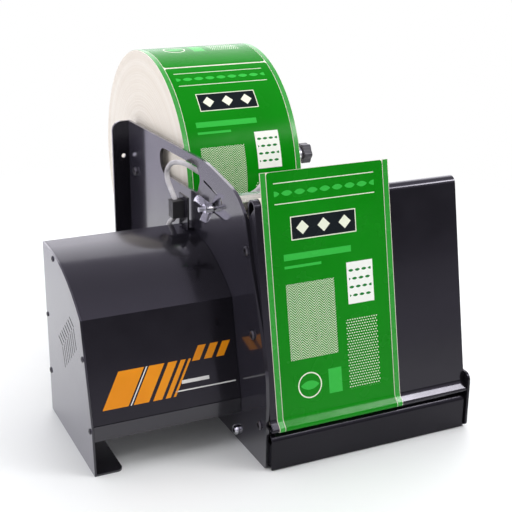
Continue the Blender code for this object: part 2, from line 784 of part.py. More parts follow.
def make_main_plate():
    bolt = (BOLT_Y, bolt_z())
    holes = [
        circle(SUPPLY, AXLE_SCREW_R + GAP, SMALL_SIDES),
        circle(DRIVE, BUSH_R + GAP),
        circle(TAKEUP, BUSH_R + GAP),
        circle(PIVOT, PINCH_STUD_R + GAP, SMALL_SIDES),
        circle(ROD, ROD_SPIGOT_R + GAP, SMALL_SIDES),
        circle(GUIDE, ROD_SPIGOT_R + GAP, SMALL_SIDES),
        circle(bolt, SCREW_SHANK_R + GAP, SMALL_SIDES),
    ]
    for z in (SLIDE_SCREW_LOW_Z, SLIDE_SCREW_MID_Z, SLIDE_SCREW_HIGH_Z):
        holes.append(circle(slide_screw_point(z), SCREW_SHANK_R + GAP, SMALL_SIDES))
    holes.append(window_outline())
    holes.append(stadium(slot_point(-SLOT_BACK), slot_point(SENSOR_TRAVEL + SLOT_W / 2), SLOT_W))
    plate = sheet("main_plate", [plate_outline()] + holes, 0.0, PLATE_T, "black_paint")
    cut(plate, add_tool(side_mesh([slit_outline()], PLATE_T + 2 * OVERRUN), (PLATE_T / 2, 0.0, 0.0)))
    flange = rounded([
        (PLATE_T, 0.0, 0.0),
        (PLATE_T, PLATE_REAR_Z, 0.0),
        (-REAR_FLANGE_W, PLATE_REAR_Z, REAR_FLANGE_R),
        (-REAR_FLANGE_W, 0.0, PLATE_TOE_R),
    ])
    hole_x = PLATE_T - REAR_HOLE_INSET
    rings = [circle((hole_x, PLATE_REAR_Z * share), REAR_HOLE_R, SMALL_SIDES) for share in REAR_HOLE_SHARES]
    mesh = flat_mesh([flange] + rings, PLATE_T)
    join(plate, add_tool(mesh, (0.0, PLATE_REAR_Y - PLATE_T / 2, 0.0), (math.pi / 2, 0.0, 0.0)))


def make_slide_plate():
    profile = strip(slide_path(), 0.0, SHEET)
    slide = sheet("slide_plate", [profile], INNER_X, SLIDE_W, "black_paint")
    inner = SLIDE_OUT * (SHEET / 2)
    low = slide_point(NOSE_Z + NOSE_R + RAMP_R / 2) - inner
    front = slide_point(FOLD_Z) - inner
    drop = SLIDE_UP * SLIDE_FLANGE_DROP
    rear = front - SLIDE_OUT * SLIDE_FLANGE_W - drop
    foot = low - SLIDE_OUT * SLIDE_FLANGE_W
    under = Vector((foot.x, NOSE_Z - NOSE_R - RAMP_R))
    heel = Vector((slide_screw_point(SLIDE_SCREW_LOW_Z).x - SCREW_HEAD_R, under.y))
    toe = Vector((heel.x, low.y))
    corner = SCREW_HEAD_R
    outline = [(*low, 0.0), (*front, 0.0), (*rear, corner), (*foot, corner), (*under, corner), (*heel, corner),
               (*toe, 0.0)]
    holes = []
    for z in (SLIDE_SCREW_LOW_Z, SLIDE_SCREW_MID_Z, SLIDE_SCREW_HIGH_Z):
        holes.append(circle(slide_screw_point(z), SCREW_SHANK_R + GAP, SMALL_SIDES))
    mesh = side_mesh([rounded(outline)] + holes, SHEET)
    join(slide, add_tool(mesh, (INNER_X + SHEET / 2, 0.0, 0.0)))


def bolt_z():
    return PAN_FLOOR_Z + SHEET + PAN_SIDE_H / 4


def pan_side_x():
    return SLIDE_RIGHT_X - SHEET


def make_base_pan():
    low = (INNER_X, SHEET / 2, PAN_FLOOR_Z)
    pan = block("base_pan", low, (SLIDE_RIGHT_X, PAN_REAR_Y, PAN_FLOOR_Z + SHEET), "black_paint")
    bend = (PAN_FRONT_R, PAN_FRONT_Z - PAN_FRONT_R)
    path = [(0.0, PAN_LIP_Z)] + arc(bend, PAN_FRONT_R, math.pi, math.pi / 2)
    path.append((PAN_FRONT_R + PAN_RETURN, PAN_FRONT_Z))
    wall = side_mesh([strip(path, 0.0, SHEET)], SLIDE_W)
    join(pan, add_tool(wall, (INNER_X + SLIDE_W / 2, 0.0, 0.0)))
    top = PAN_FLOOR_Z + SHEET + PAN_SIDE_H
    for x in (INNER_X, pan_side_x()):
        join(pan, box_tool((x, SHEET / 2, PAN_FLOOR_Z), (x + SHEET, GUIDE_Y - 2 * GUIDE_R, top)))
    cut(pan, bar_tool((BOLT_Y, bolt_z()), SCREW_SHANK_R + GAP, 0.0, INNER_X + SHEET + OVERRUN, SMALL_SIDES))
    screw_part("base_bolt", (-GAP, BOLT_Y, bolt_z()), TO_LEFT, BOLT_HEAD_R, BOLT_HEAD_H, SCREW_SHANK_R,
               SCREW_SHANK_L, socket=SOCKET_R)


def make_right_plate():
    outline = rounded([
        (-RIGHT_FRONT, PAN_FLOOR_Z, PLATE_TOE_R),
        (-RIGHT_FRONT, RIGHT_TOP_Z, RIGHT_CORNER_R),
        (RIGHT_HIGH_Y, RIGHT_TOP_Z, RIGHT_CORNER_R),
        (RIGHT_HIGH_Y + RIGHT_SLOPE_Y, RIGHT_LOW_Z, RIGHT_CORNER_R),
        (PAN_REAR_Y, RIGHT_LOW_Z, RIGHT_CORNER_R),
        (PAN_REAR_Y, PAN_FLOOR_Z, PLATE_TOE_R),
    ])
    hole = circle(GUIDE, ROD_SPIGOT_R + GAP, SMALL_SIDES)
    sheet("right_plate", [outline, hole], RIGHT_X, RIGHT_T, "black_paint")


def make_foot_strips():
    low_x = INNER_X + FOOT_STRIP_END
    high_x = SLIDE_RIGHT_X - FOOT_STRIP_END
    places = {"front": FOOT_STRIP_INSET, "rear": PAN_REAR_Y - FOOT_STRIP_INSET - FOOT_STRIP_W}
    for end, y in places.items():
        block("foot_strip_" + end, (low_x, y, 0.0), (high_x, y + FOOT_STRIP_W, PAN_FLOOR_Z - GAP),
              "black_rubber")


def make_slide_screws():
    heights = {"lower": SLIDE_SCREW_LOW_Z, "middle": SLIDE_SCREW_MID_Z, "upper": SLIDE_SCREW_HIGH_Z}
    for level, z in heights.items():
        at = (-GAP, *slide_screw_point(z))
        screw_part("slide_screw_" + level, at, TO_LEFT, SCREW_HEAD_R, SCREW_HEAD_H, SCREW_SHANK_R,
                   SCREW_SHANK_L, "black_paint", SOCKET_R)


# Housing
def cover_arc_centre():
    rise = COVER_TOP_Z - CREASE_Z
    back = math.sqrt(2 * COVER_R * rise - rise * rise)
    return Vector((CREASE_Y + back, COVER_TOP_Z - COVER_R))


def cover_front():
    # from the foot of the front panel over the crease to the top of the back
    centre = cover_arc_centre()
    crease = Vector((CREASE_Y, CREASE_Z)) - centre
    path = [(COVER_FOOT_Y, COVER_FOOT_Z)]
    path += arc(centre, COVER_R, math.atan2(crease.y, crease.x), math.pi / 2, WIDE_ARC_STEP)
    return path + [(HOUSING_REAR_Y, COVER_TOP_Z)]


def make_end_plate():
    outline = [(HOUSING_TOE_Y, 0.0)] + cover_front() + [(HOUSING_REAR_Y, 0.0)]
    loops = [outline]
    for i in range(VENT_COUNT):
        loops += vent_slots(VENT_Y - VENT_STEP_Y * i, VENT_Z + VENT_STEP_Z * i)
    for y, z in cover_screw_points().values():
        loops.append(circle((y, z), COVER_SCREW_SHANK_R + GAP, SMALL_SIDES))
    plate = sheet("housing_end_plate", loops, CAP_X, SHEET, "black_paint")
    middle = CAP_X + SHEET / 2
    foot = rounded([
        (middle, HOUSING_TOE_Y, 0.0),
        (CAP_X + END_FOOT_W, HOUSING_TOE_Y, END_FOOT_R),
        (CAP_X + END_FOOT_W, HOUSING_REAR_Y, END_FOOT_R),
        (middle, HOUSING_REAR_Y, 0.0),
    ])
    join(plate, add_tool(flat_mesh([foot], SHEET), (0.0, 0.0, SHEET / 2)))
    tab_low = HOUSING_FLOOR_Z + THIN_SHEET + GAP
    tab_front = PANEL_Y - GAP - SHEET
    join(plate, box_tool((middle, tab_front, tab_low), (CAP_X + END_REAR_TAB, PANEL_Y - GAP, PANEL_HIGH_Z)))
    for z in (BACK_SCREW_LOW_Z, BACK_SCREW_HIGH_Z):
        cut(plate, deep_tool((back_screw_x(), z), COVER_SCREW_SHANK_R + GAP, tab_front - OVERRUN, PANEL_Y))


def vent_slots(y, z):
    # a shallow upper slot and a steep lower one, with a bridge of metal between them
    knee = (y - VENT_UPPER_RUN, z - VENT_UPPER_DROP)
    drop = knee[1] - VENT_BRIDGE
    end = (knee[0] - VENT_LOWER_RUN, drop - VENT_LOWER_DROP)
    return [stadium((y, z), knee, VENT_W, COARSE_STEP), stadium((knee[0], drop), end, VENT_W, COARSE_STEP)]


def cover_screw_points():
    slope = (CREASE_Y - COVER_FOOT_Y) / (CREASE_Z - COVER_FOOT_Z)
    inset = COVER_HEM * 0.6
    mid_y = COVER_FOOT_Y + (COVER_SCREW_MID_Z - COVER_FOOT_Z) * slope + inset
    centre = cover_arc_centre()
    back = centre.x - COVER_SCREW_HIGH_Y
    high_z = centre.y + math.sqrt(COVER_R ** 2 - back ** 2) - inset
    return {
        "lower": (COVER_SCREW_LOW_Y, COVER_SCREW_LOW_Z - OVERRUN),
        "middle": (mid_y, COVER_SCREW_MID_Z),
        "upper": (COVER_SCREW_HIGH_Y, high_z),
    }


def make_cover():
    path = cover_front()
    width = -HOUSING_INNER_X - GAP
    cover = sheet("housing_cover", [strip(path, 0.0, THIN_SHEET)], HOUSING_INNER_X, width, "black_paint")
    path[-1] = (PANEL_Y - GAP, COVER_TOP_Z)
    hem = strip(path, -THIN_SHEET / 2, COVER_HEM)
    points = cover_screw_points()
    holes = [circle(points[level], COVER_SCREW_SHANK_R + GAP, SMALL_SIDES) for level in ("middle", "upper")]
    join(cover, add_tool(side_mesh([hem] + holes, THIN_SHEET), (HOUSING_INNER_X + THIN_SHEET / 2, 0.0, 0.0)))


def make_housing_base():
    front = COVER_FOOT_Y
    lip_top = COVER_FOOT_Z - THIN_SHEET / 2
    left = HOUSING_INNER_X
    floor = HOUSING_FLOOR_Z
    base = block("housing_base", (left, front, floor), (-GAP, PANEL_Y - GAP, floor + THIN_SHEET), "black_paint")
    join(base, box_tool((left, front, floor), (-GAP, front + THIN_SHEET, lip_top)))
    tab_rear = PANEL_Y - 2 * GAP - SHEET
    top = floor + HOUSING_TAB_H
    join(base, box_tool((left, front, floor), (left + THIN_SHEET, tab_rear, top)))
    join(base, box_tool((-GAP - THIN_SHEET, front, floor), (-GAP, tab_rear, top)))
    hole = cover_screw_points()["lower"]
    cut(base, bar_tool(hole, COVER_SCREW_SHANK_R + GAP, left - OVERRUN, left + OVERRUN, SMALL_SIDES))


def back_screw_x():
    return HOUSING_INNER_X + COVER_SCREW_HEAD_R


def make_housing_back():
    back = block("housing_back", (HOUSING_INNER_X, PANEL_Y, HOUSING_FLOOR_Z),
                 (-GAP, BACK_FACE_Y, COVER_TOP_Z - THIN_SHEET - GAP), "black_paint")
    low = PANEL_Y - OVERRUN
    high = BACK_FACE_Y + OVERRUN
    holes = ((INLET_X, INLET_BODY_W, INLET_BODY_H), (SWITCH_X, SWITCH_W, SWITCH_H))
    for x, wide, high_z in holes:
        half = GAP + wide / 2
        tall = GAP + high_z / 2
        cut(back, box_tool((x - half, low, PANEL_LOW_Z - tall), (x + half, high, PANEL_LOW_Z + tall)))
    cut(back, deep_tool((SPEED_X, PANEL_HIGH_Z), SPEED_SHAFT_R + GAP, low, high))
    cut(back, deep_tool((BUTTON_X, PANEL_HIGH_Z), BUTTON_STEM_R + GAP, low, high))
    cut(back, deep_tool((CLAMP_X, GLAND_Z), GLAND_R - THIN_SHEET + GAP, low, high))
    for z in (BACK_SCREW_LOW_Z, BACK_SCREW_HIGH_Z):
        cut(back, deep_tool((back_screw_x(), z), COVER_SCREW_SHANK_R + GAP, low, high))


def make_housing_screws():
    for level, (y, z) in cover_screw_points().items():
        screw_part("cover_screw_" + level, (CAP_X - GAP, y, z), TO_LEFT, COVER_SCREW_HEAD_R,
                   COVER_SCREW_HEAD_H - GAP, COVER_SCREW_SHANK_R, COVER_SCREW_SHANK_L)
    for level, z in {"lower": BACK_SCREW_LOW_Z, "upper": BACK_SCREW_HIGH_Z}.items():
        screw_part("back_screw_" + level, (back_screw_x(), BACK_FACE_Y + GAP, z), TO_REAR, COVER_SCREW_HEAD_R,
                   COVER_SCREW_HEAD_H, COVER_SCREW_SHANK_R, COVER_SCREW_SHANK_L)


# Back panel fittings
def panel_box(x, wide, tall, y_low, y_high):
    # the two corners of a box on the back panel's lower row
    low = (x - wide / 2, y_low, PANEL_LOW_Z - tall / 2)
    high = (x + wide / 2, y_high, PANEL_LOW_Z + tall / 2)
    return low, high


def make_inlet():
    face = BACK_FACE_Y + GAP
    outer = face + PANEL_LIP_T
    middle = outer - PANEL_LIP_T / 2
    inlet = block("power_inlet", *panel_box(INLET_X, INLET_W, INLET_H, face, outer), "black_plastic")
    join(inlet, box_tool(*panel_box(INLET_X, INLET_BODY_W, INLET_BODY_H, face - INLET_DEPTH, middle)))
    floor = outer - INLET_SOCKET_DEPTH
    cut(inlet, box_tool(*panel_box(INLET_X, INLET_SOCKET_W, INLET_SOCKET_H, floor, outer + OVERRUN)))


def make_switch():
    face = BACK_FACE_Y + GAP
    outer = face + PANEL_LIP_T
    lip = 2 * SWITCH_WALL
    corners = panel_box(SWITCH_X, SWITCH_W + lip, SWITCH_H + lip, face, outer)
    frame = block("switch_frame", *corners, "black_plastic")
    middle = outer - PANEL_LIP_T / 2
    join(frame, box_tool(*panel_box(SWITCH_X, SWITCH_W, SWITCH_H, face - SWITCH_DEPTH, middle)))
    floor = outer - 2 * ROCKER_DEEP
    cut(frame, box_tool(*panel_box(SWITCH_X, SWITCH_W - lip, SWITCH_H - lip, floor, outer + OVERRUN)))
    # the rocker is an outline in y and z about its pivot, clear of the frame at both tilts
    half = SWITCH_H / 2 - SWITCH_WALL
    reach = half * math.cos(ROCKER_TILT) - ROCKER_SIDE_GAP - ROCKER_PROUD * math.sin(ROCKER_TILT)
    sink = ROCKER_DEEP - ROCKER_SIDE_GAP
    share = ROCKER_SHARE
    outline = [(-sink, 0.0), (-sink / 2, -reach * share), (ROCKER_PROUD, -reach), (ROCKER_PROUD / 2, 0.0),
               (ROCKER_PROUD, reach), (-sink / 2, reach * share)]
    mesh = side_mesh([outline], SWITCH_W - lip - 2 * ROCKER_SIDE_GAP)
    add_part("rocker", mesh, "red_plastic", ROCKER_AT, ROCKER)


def make_speed_knob():
    chamfer = SPEED_H - SPEED_SKIRT_H / 3
    top_r = SPEED_GRIP_R - SPEED_SKIRT_H / 3
    profile = [(0.0, SPEED_H), (top_r, SPEED_H), (SPEED_GRIP_R, chamfer), (SPEED_GRIP_R, SPEED_SKIRT_H),
               (SPEED_R, SPEED_SKIRT_H / 2), (SPEED_R, 0.0), (SPEED_SHAFT_R, 0.0),
               (SPEED_SHAFT_R, -SPEED_SHAFT_L), (0.0, -SPEED_SHAFT_L)]
    turned("speed_knob", profile, "black_plastic", SPEED_AT, SPEED, TO_REAR)


def make_feed_button():
    edge = BUTTON_PROUD - BUTTON_EDGE
    profile = [(0.0, BUTTON_PROUD), (BUTTON_R - BUTTON_EDGE, BUTTON_PROUD), (BUTTON_R, edge),
               (BUTTON_R, BUTTON_LIFT), (BUTTON_STEM_R, BUTTON_LIFT), (BUTTON_STEM_R, -BUTTON_STEM_L),
               (0.0, -BUTTON_STEM_L)]
    turned("feed_button", profile, "red_plastic", BUTTON_AT, BUTTON, TO_REAR, SMALL_SIDES)


def make_gland():
    bore = CABLE_D / 2 + GAP
    neck = GLAND_R - THIN_SHEET
    nut = THIN_SHEET + 2 * GAP
    end = nut + THIN_SHEET
    profile = [(bore, GLAND_L), (neck, GLAND_L), (GLAND_R, GLAND_L - THIN_SHEET), (GLAND_R, 0.0), (neck, 0.0),
               (neck, -nut), (GLAND_R, -nut), (GLAND_R, -end), (bore, -end)]
    at = (CLAMP_X, BACK_FACE_Y + GAP, GLAND_Z)
    turned("cable_gland", profile, "black_plastic", at, None, TO_REAR, SMALL_SIDES, True)


# Rods, axle and roll
def make_rods():
    length = SLIDE_RIGHT_X - INNER_X
    spigot = PLATE_T + GAP
    profile = [(0.0, length), (ROD_R, length), (ROD_R, 0.0), (ROD_SPIGOT_R, 0.0), (ROD_SPIGOT_R, -spigot),
               (0.0, -spigot)]
    turned("liner_rod", profile, "steel", (INNER_X, *ROD), sides=SMALL_SIDES)
    right = length + GAP + RIGHT_T
    profile = [(0.0, right), (ROD_SPIGOT_R, right), (ROD_SPIGOT_R, length), (REAR_ROD_R, length),
               (REAR_ROD_R, 0.0), (ROD_SPIGOT_R, 0.0), (ROD_SPIGOT_R, -spigot), (0.0, -spigot)]
    turned("rear_rod", profile, "steel", (INNER_X, *GUIDE), sides=SMALL_SIDES)
    bore = REAR_ROD_R + GAP
    tube = length - 2 * GAP
    profile = [(bore, tube), (GUIDE_R, tube), (GUIDE_R, 0.0), (bore, 0.0)]
    turned("guide_roller", profile, "aluminium", (INNER_X + GAP, *GUIDE), GUIDE_BODY, bored=True)


def make_supply():
    bore = AXLE_SCREW_R + GAP
    deep = AXLE_SCREW_REACH
    tip = AXLE_L + AXLE_STUD_L
    profile = [(0.0, tip), (AXLE_STUD_R, tip), (AXLE_STUD_R, AXLE_L), (AXLE_R, AXLE_L), (AXLE_R, 0.0),
               (bore, 0.0), (bore, deep), (0.0, deep)]
    turned("supply_axle", profile, "steel", (INNER_X, *SUPPLY), sides=ROUND_SIDES)
    reach = INNER_X + deep - GAP
    screw_part("axle_screw", (-GAP, *SUPPLY), TO_LEFT, AXLE_SCREW_HEAD_R, AXLE_SCREW_HEAD_H, AXLE_SCREW_R,
               reach)

    hub_r = CORE_R - CORE_WALL - GAP
    bore = AXLE_R + GAP
    left = WEB_LEFT_X - GAP
    disc_x = left - HUB_DISC_T
    end = HUB_DISC_T + HUB_L
    profile = [(bore, end), (hub_r, end), (hub_r, HUB_DISC_T), (HUB_DISC_R, HUB_DISC_T), (HUB_DISC_R, 0.0),
               (bore, 0.0)]
    turned("roll_hub", profile, "black_plastic", (disc_x, *SUPPLY), SUPPLY_BODY, bored=True)
    profile = [(CORE_R - CORE_WALL, WEB_W), (CORE_R, WEB_W), (CORE_R, 0.0), (CORE_R - CORE_WALL, 0.0)]
    turned("roll_core", profile, "cardboard", (WEB_LEFT_X, *SUPPLY), SUPPLY_BODY, bored=True)
    profile = [(CORE_R + GAP, WEB_W), (ROLL_R, WEB_W), (ROLL_R, 0.0), (CORE_R + GAP, 0.0)]
    at = (WEB_LEFT_X, *SUPPLY)
    turned("label_roll", profile, "label_green", at, SUPPLY_BODY, sides=ROLL_SIDES, bored=True)

    disc_left = WEB_LEFT_X + WEB_W + GAP
    profile = [(bore, HUB_DISC_T), (HUB_DISC_R, HUB_DISC_T), (HUB_DISC_R, 0.0), (hub_r, 0.0),
               (hub_r, -DISC_HUB_L), (bore, -DISC_HUB_L)]
    turned("outer_disc", profile, "black_plastic", (disc_left, *SUPPLY), DISC_BODY, bored=True)


def make_star_knob():
    points = []
    for i in range(KNOB_SIDES):
        angle = 2 * math.pi * i / KNOB_SIDES
        radius = KNOB_R - KNOB_LOBE_DEPTH * (1 - math.cos(KNOB_LOBES * angle)) / 2
        points.append((radius * math.cos(angle), radius * math.sin(angle)))
    mesh = side_mesh([points], KNOB_T)
    knob = add_part("star_knob", mesh, "black_plastic", (KNOB_X + GAP + KNOB_T / 2, *SUPPLY), KNOB_BODY)
    face = KNOB_X + GAP + KNOB_T
    join(knob, bar_tool(SUPPLY, KNOB_BOSS_R, face - KNOB_T / 2, face + KNOB_BOSS_H, SMALL_SIDES))
    cut(knob, bar_tool(SUPPLY, AXLE_STUD_R + GAP, KNOB_X - OVERRUN, KNOB_X + AXLE_STUD_L + GAP, SMALL_SIDES))


# Label web and waste liner
def make_web():
    sheet("label_web", [strip(web_path(), WEB_T / 2, WEB_T / 2)], WEB_LEFT_X, WEB_W, "label_green")
    sheet("waste_liner", [strip(liner_path(), WEB_T / 2, WEB_T / 2)], WEB_LEFT_X, WEB_W, "liner")


# Drive, pinch and take-up
def make_bush(name, centre, shaft_r):
    long = PLATE_T + OVERRUN
    bore = shaft_r + GAP
    profile = [(bore, BUSH_FLANGE_T), (BUSH_FLANGE_R, BUSH_FLANGE_T), (BUSH_FLANGE_R, 0.0), (BUSH_R, 0.0),
               (BUSH_R, -long), (bore, -long)]
    turned(name, profile, "brass", (INNER_X, *centre), bored=True)


def make_pulley(name, centre, radius, shaft_r, body):
    bore = shaft_r + GAP
    rim = radius + PULLEY_RIM_H
    inner = PULLEY_W - PULLEY_RIM_T
    profile = [(bore, PULLEY_W), (rim, PULLEY_W), (rim, inner), (radius, inner), (radius, PULLEY_RIM_T),
               (rim, PULLEY_RIM_T), (rim, 0.0), (bore, 0.0)]
    turned(name, profile, "aluminium", (PULLEY_X, *centre), body, bored=True)


def make_belt():
    # both pulleys lie on the right of the band, which runs from one to the other and back
    loops = []
    for extra in (GAP + BELT_T, GAP):
        small = DRIVE_PULLEY_R + extra
        large = TAKEUP_PULLEY_R + extra
        out = tangent(DRIVE, small, TAKEUP, large)
        back = tangent(TAKEUP, large, DRIVE, small)
        out_end = out - (out - back) % (2 * math.pi)
        back_end = back - (back - out) % (2 * math.pi)
        loops.append(arc(TAKEUP, large, out, out_end) + arc(DRIVE, small, back, back_end))
    width = PULLEY_W - 2 * PULLEY_RIM_T - 2 * BELT_SIDE_GAP
    sheet("takeup_belt", loops, PULLEY_CENTRE_X - width / 2, width, "black_rubber")


def make_drive():
    left = GEARBOX_X - GEARBOX_BORE_L + 2 * GAP
    right = INNER_X + BUSH_FLANGE_T + 2 * GAP + ROLLER_L
    length = right - left + SHEET
    profile = [(0.0, length), (DRIVE_CORE_R, length), (DRIVE_CORE_R, 0.0), (0.0, 0.0)]
    turned("drive_shaft", profile, "steel", (left, *DRIVE), DRIVE_BODY, sides=SMALL_SIDES)
    bore = DRIVE_CORE_R + GAP
    profile = [(bore, ROLLER_L), (DRIVE_R, ROLLER_L), (DRIVE_R, 0.0), (bore, 0.0)]
    turned("drive_roller", profile, "black_rubber", (right - ROLLER_L, *DRIVE), DRIVE_BODY, bored=True)
    make_pulley("drive_pulley", DRIVE, DRIVE_PULLEY_R, DRIVE_CORE_R, DRIVE_BODY)
    make_bush("drive_bush", DRIVE, DRIVE_CORE_R)


def make_takeup():
    left = PULLEY_X - GAP
    profile = [(0.0, TAKEUP_L), (TAKEUP_R, TAKEUP_L), (TAKEUP_R, 0.0), (0.0, 0.0)]
    turned("takeup_shaft", profile, "steel", (left, *TAKEUP), TAKEUP_BODY, sides=SMALL_SIDES)
    bore = TAKEUP_R + GAP
    profile = [(bore, WEB_W), (WASTE_R, WEB_W), (WASTE_R, 0.0), (bore, 0.0)]
    turned("waste_roll", profile, "liner", (WEB_LEFT_X, *TAKEUP), TAKEUP_BODY, bored=True)
    make_pulley("takeup_pulley", TAKEUP, TAKEUP_PULLEY_R, TAKEUP_R, TAKEUP_BODY)
    make_bush("takeup_bush", TAKEUP, TAKEUP_R)


def make_pinch():
    # a flat arm with an eye at each end, its pivot stud, the roller's axle and a grip at the axle's end
    run = Vector(PIVOT) - Vector(PINCH)
    along = math.atan2(run.y, run.x)
    half = math.pi / 2
    outline = arc(PIVOT, PINCH_EYE_R, along - half, along + half)
    outline += arc(PINCH, PINCH_EYE_R, along + half, along + 3 * half)
    arm_x = INNER_X + GAP
    middle = arm_x + SHEET / 2
    arm = add_part("pinch_arm", side_mesh([outline], SHEET), "steel", (middle, 0.0, 0.0), PINCH_ARM)
    join(arm, bar_tool(PIVOT, PINCH_STUD_R, -SPRING_PITCH * (SPRING_TURNS + 1), middle, SMALL_SIDES))
    roller_x = arm_x + SHEET + OVERRUN
    grip_x = roller_x + PINCH_L + 2 * GAP
    join(arm, bar_tool(PINCH, PINCH_AXLE_R, middle, grip_x + PINCH_GRIP_L / 2, SMALL_SIDES))
    join(arm, bar_tool(PINCH, PINCH_GRIP_R, grip_x, grip_x + PINCH_GRIP_L, SMALL_SIDES))
    bore = PINCH_AXLE_R + GAP
    profile = [(bore, PINCH_L), (PINCH_R, PINCH_L), (PINCH_R, 0.0), (bore, 0.0)]
    turned("pinch_roller", profile, "black_rubber", (roller_x, *PINCH), PINCH_BODY, bored=True)


def tube_curve(name, points, diameter, resolution):
    curve = bpy.data.curves.new(name, "CURVE")
    curve.dimensions = "3D"
    curve.bevel_depth = diameter / 2
    curve.bevel_resolution = resolution
    curve.use_fill_caps = True
    spline = curve.splines.new("POLY")
    spline.points.add(len(points) - 1)
    for point, co in zip(spline.points, points):
        point.co = (*co, 1.0)
    return bpy.data.objects.new(name, curve)


def tube_part(name, points, diameter, material, resolution):
    obj = tube_curve(name, points, diameter, resolution)
    obj.data.materials.append(bpy.data.materials[material])
    PARTS.objects.link(obj)
    return place(obj, (0.0, 0.0, 0.0))


def tube_tool(points, diameter):
    guide = tube_curve("bore", points, diameter, 2)
    return add_tool(solid_mesh(guide))


def make_spring():
    # a torsion spring round the pinch arm's stud, on the housing side of the main plate
    points = []
    turn_points = round(2 * math.pi / SPRING_STEP)
    count = SPRING_TURNS * turn_points
    start = -GAP - SPRING_WIRE
    for i in range(count + 1):
        angle = 2 * math.pi * i / turn_points
        x = start - SPRING_PITCH * i / turn_points
        points.append((x, *on_circle(PIVOT, SPRING_COIL_R, angle)))
    tube_part("pinch_spring", points, SPRING_WIRE, "steel", 1)
    print("least gap between spring turns, mm:", round((SPRING_PITCH - SPRING_WIRE) / MM, 2))


# Motor and electronics
def make_motor():
    plate = circle(DRIVE, BRACKET_R)
    hole = circle(DRIVE, DRIVE_CORE_R + 2 * GAP, SMALL_SIDES)
    bracket = sheet("motor_bracket", [plate, hole], BRACKET_X, SHEET, "steel")
    for i in range(4):
        angle = math.pi / 2 * (i + 0.5)
        post = on_circle(DRIVE, BRACKET_POST_RING, angle)
        join(bracket, bar_tool(post, BRACKET_POST_R, BRACKET_X + SHEET / 2, -GAP, SMALL_SIDES))
    bore = DRIVE_CORE_R + GAP
    profile = [(0.0, -GEARBOX_BORE_L), (bore, -GEARBOX_BORE_L), (bore, 0.0), (GEARBOX_R - MOTOR_CHAMFER, 0.0),
               (GEARBOX_R, -MOTOR_CHAMFER), (GEARBOX_R, -GEARBOX_L), (0.0, -GEARBOX_L)]
    turned("gearbox", profile, "steel", (GEARBOX_X, *DRIVE))
    at = (GEARBOX_X - GEARBOX_L - GAP, *DRIVE)
    length = MOTOR_L + MOTOR_CAP_L
    profile = [(0.0, 0.0), (MOTOR_R - MOTOR_CHAMFER, 0.0), (MOTOR_R, -MOTOR_CHAMFER), (MOTOR_R, -MOTOR_L),
               (MOTOR_CAP_R, -MOTOR_L), (MOTOR_CAP_R, -length), (0.0, -length)]
    turned("motor", profile, "black_paint", at)


def make_board():
    floor = HOUSING_FLOOR_Z + THIN_SHEET + GAP
    low_x = BOARD_LEFT_X
    under = floor + BOARD_LIFT
    high_x = low_x + BOARD_W
    front = BOARD_FRONT_Y
    rear = front + BOARD_D
    middle = under + BOARD_T / 2
    top = under + BOARD_T
    board = block("circuit_board", (low_x, front, under), (high_x, rear, top), "board_green")
    for x in (low_x + BOARD_POST_INSET, high_x - BOARD_POST_INSET):
        for y in (front + BOARD_POST_INSET, rear - BOARD_POST_INSET):
            post = cylinder_mesh(BOARD_POST_R, middle - floor, SMALL_SIDES)
            join(board, add_tool(post, (x, y, (middle + floor) / 2)))
    inset = BOARD_POST_INSET + BOARD_POST_R
    tall = (low_x + BOARD_W * BOARD_PART_SHARE, front + BOARD_D / 2, top + BOARD_PART_H)
    join(board, box_tool((low_x + inset, front + inset, middle), tall))
    flat = (high_x - inset, rear - inset, top + BOARD_PART_H / 2)
    join(board, box_tool((low_x + BOARD_W / 2, front + BOARD_D / 2, middle), flat))


def make_power_supply():
    floor = HOUSING_FLOOR_Z + THIN_SHEET + GAP
    rear = PANEL_Y - INLET_DEPTH - SUPPLY_CLEAR_Y
    low = (SUPPLY_RIGHT_X - SUPPLY_W, rear - SUPPLY_D, floor)
    supply = block("power_supply", low, (SUPPLY_RIGHT_X, rear, floor + SUPPLY_H), "aluminium")
    step = SUPPLY_TERMINAL
    high = (SUPPLY_RIGHT_X - step, rear - step, floor + SUPPLY_H - step)
    join(supply, box_tool((low[0] + step, low[1] - step, floor + step), high))


# Sensor
def make_sensor():
    arm_x = INNER_X + GAP
    half = ARM_W / 2
    outline = rounded([
        (ARM_REAR_Y, ARM_REAR_Z + half, half / 2),
        (ARM_REAR_Y, ARM_REAR_Z - half, half / 2),
        (STUD_Y + ARM_W, STUD_Z - half, half),
        (STUD_Y - half, STUD_Z - half, half),
        (BAR_Y, BAR_Z, half / 4),
        (BAR_Y, BAR_Z + BAR_H + ARM_T, half / 4),
    ])
    middle = arm_x + ARM_T / 2
    arm = add_part("sensor_arm", side_mesh([outline], ARM_T), "steel", (middle, 0.0, 0.0), SENSOR_BODY)
    bar_x = arm_x + BAR_L
    rear = BAR_Y + BAR_D
    join(arm, box_tool((arm_x, BAR_Y, BAR_Z), (bar_x, rear, BAR_Z + BAR_H)))
    join(arm, bar_tool((STUD_Y, STUD_Z), STUD_R, -STUD_L, middle, SMALL_SIDES))
    floor = BAR_Z + BAR_H + GAP
    low = (bar_x - HEAD_W, rear - HEAD_D, floor)
    block("sensor_head", low, (bar_x, rear, floor + HEAD_H), "black_plastic", SENSOR_BODY)


